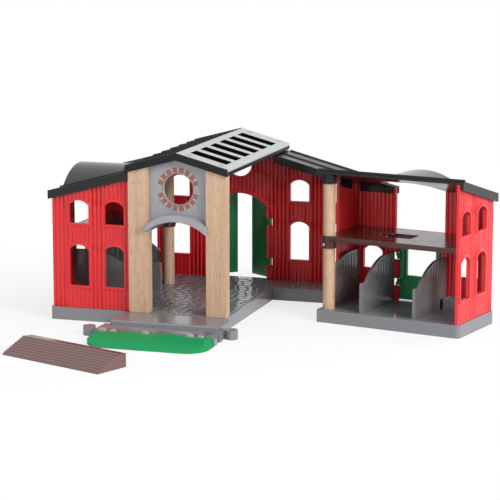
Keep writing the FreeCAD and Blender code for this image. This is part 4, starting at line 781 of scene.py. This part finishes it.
def rivets():
    """A domed rivet head on each loft collar."""
    way = Vector((math.cos(RIVET_WAY), math.sin(RIVET_WAY), 0))
    level = Vector((0, 0, 1)).cross(way)
    foot = Vector(COLLAR_MIDDLE) + way * COLLAR_RADIUS
    for body, matrix in WINGS.items():
        shape = bmesh.new()
        rings = []
        for radius, out in RIVET_PROFILE:
            ring = []
            for side in range(RIVET_SIDES):
                angle = 2 * math.pi * side / RIVET_SIDES
                around = level * math.cos(angle) + Vector((0, 0, 1)) * math.sin(angle)
                ring.append(shape.verts.new(foot + way * out + around * radius))
            rings.append(ring)
        for ring, inner in zip(rings, rings[1:]):
            for side in range(RIVET_SIDES):
                after = (side + 1) % RIVET_SIDES
                shape.faces.new((ring[side], ring[after], inner[after], inner[side])).smooth = True
        shape.faces.new(rings[-1]).smooth = True
        shape.faces.new(rings[0])
        new_piece(f"{body}_rivet", shape, body, "light_grey_plastic", matrix, finish="brushed_steel")


rivets()

# Floor, light and camera

FLOOR_SIZE = 12.0
FLOOR_WHITE = (0.86, 0.86, 0.865, 1.0)
FLOOR_GLOW = 0.72
FLOOR_MIDDLE = (0.05, 0.03, 0.0)
FLOOR_NEAR = 0.15
FLOOR_FAR = 0.5
AMBIENT = 0.42


def seen_directly(tree):
    """1 where a ray comes from the camera, a mirror or glass, else 0."""
    path = tree.nodes.new("ShaderNodeLightPath")
    total = path.outputs["Is Camera Ray"]
    for name in ("Is Glossy Ray", "Is Transmission Ray"):
        both = tree.nodes.new("ShaderNodeMath")
        both.operation = "MAXIMUM"
        tree.links.new(total, both.inputs[0])
        tree.links.new(path.outputs[name], both.inputs[1])
        total = both.outputs[0]
    return total


def make_floor():
    """Wide pale floor that keeps a soft shadow and turns white further out."""
    mesh = bpy.data.meshes.new("floor")
    half = FLOOR_SIZE / 2
    corners = [(-half, -half, 0), (half, -half, 0), (half, half, 0), (-half, half, 0)]
    mesh.from_pydata(corners, [], [(0, 1, 2, 3)])
    floor = bpy.data.objects.new("floor", mesh)
    bpy.context.scene.collection.objects.link(floor)
    material = bpy.data.materials.new("floor_white")
    material.use_nodes = True
    tree = material.node_tree
    tree.nodes.clear()
    matt = tree.nodes.new("ShaderNodeBsdfDiffuse")
    matt.inputs["Color"].default_value = FLOOR_WHITE
    glow = tree.nodes.new("ShaderNodeEmission")
    away = tree.nodes.new("ShaderNodeVectorMath")
    away.operation = "DISTANCE"
    away.inputs[1].default_value = FLOOR_MIDDLE
    tree.links.new(tree.nodes.new("ShaderNodeNewGeometry").outputs["Position"], away.inputs[0])
    fade = tree.nodes.new("ShaderNodeMapRange")
    fade.interpolation_type = "SMOOTHSTEP"
    fade.inputs["From Min"].default_value = FLOOR_NEAR
    fade.inputs["From Max"].default_value = FLOOR_FAR
    fade.inputs["To Min"].default_value = FLOOR_GLOW
    fade.inputs["To Max"].default_value = 1.0
    tree.links.new(away.outputs["Value"], fade.inputs["Value"])
    share = tree.nodes.new("ShaderNodeMath")
    share.operation = "MULTIPLY"
    tree.links.new(fade.outputs["Result"], share.inputs[1])
    tree.links.new(seen_directly(tree), share.inputs[0])
    mix = tree.nodes.new("ShaderNodeMixShader")
    tree.links.new(share.outputs[0], mix.inputs["Fac"])
    tree.links.new(matt.outputs[0], mix.inputs[1])
    tree.links.new(glow.outputs[0], mix.inputs[2])
    out = tree.nodes.new("ShaderNodeOutputMaterial")
    tree.links.new(mix.outputs[0], out.inputs["Surface"])
    mesh.materials.append(material)


def make_world():
    """White all round where it is seen, and a soft even light from it."""
    world = bpy.data.worlds.new("studio")
    bpy.context.scene.world = world
    world.use_nodes = True
    tree = world.node_tree
    tree.nodes.clear()
    sky = tree.nodes.new("ShaderNodeBackground")
    sky.inputs["Color"].default_value = (1, 1, 1, 1)
    strength = tree.nodes.new("ShaderNodeMapRange")
    strength.inputs["To Min"].default_value = AMBIENT
    strength.inputs["To Max"].default_value = 1.0
    tree.links.new(seen_directly(tree), strength.inputs["Value"])
    tree.links.new(strength.outputs["Result"], sky.inputs["Strength"])
    out = tree.nodes.new("ShaderNodeOutputWorld")
    tree.links.new(sky.outputs[0], out.inputs["Surface"])


TARGET = Vector((0.04, 0.05, 0.07))


def softbox(name, place, size, power):
    """Square lamp that points at the stable."""
    lamp = bpy.data.lights.new(name, "AREA")
    lamp.shape = "SQUARE"
    lamp.size = size
    lamp.energy = power
    holder = bpy.data.objects.new(name, lamp)
    holder.location = place
    holder.rotation_euler = (TARGET - Vector(place)).to_track_quat("-Z", "Y").to_euler()
    bpy.context.scene.collection.objects.link(holder)


make_floor()
make_world()
softbox("key", (1.9, -0.95, 1.1), 1.0, 48.0)
softbox("fill", (-0.7, -1.9, 0.9), 1.4, 12.0)
softbox("top", (0.1, 0.2, 1.9), 1.2, 8.0)
softbox("rim", (1.2, 1.7, 0.8), 1.4, 14.0)

CAMERA_PLACE = (0.613579, -1.723798, 0.407687)
CAMERA_PITCH = 79.617
CAMERA_TURN = 17.505
CAMERA_LENS = 147.07
SENSOR = 36.0

camera = bpy.data.cameras.new("camera")
camera.sensor_width = SENSOR
camera.lens = CAMERA_LENS
viewer = bpy.data.objects.new("camera", camera)
viewer.location = CAMERA_PLACE
viewer.rotation_euler = (math.radians(CAMERA_PITCH), 0.0, math.radians(CAMERA_TURN))
bpy.context.scene.collection.objects.link(viewer)
bpy.context.scene.camera = viewer
bpy.context.scene.view_settings.view_transform = "Standard"
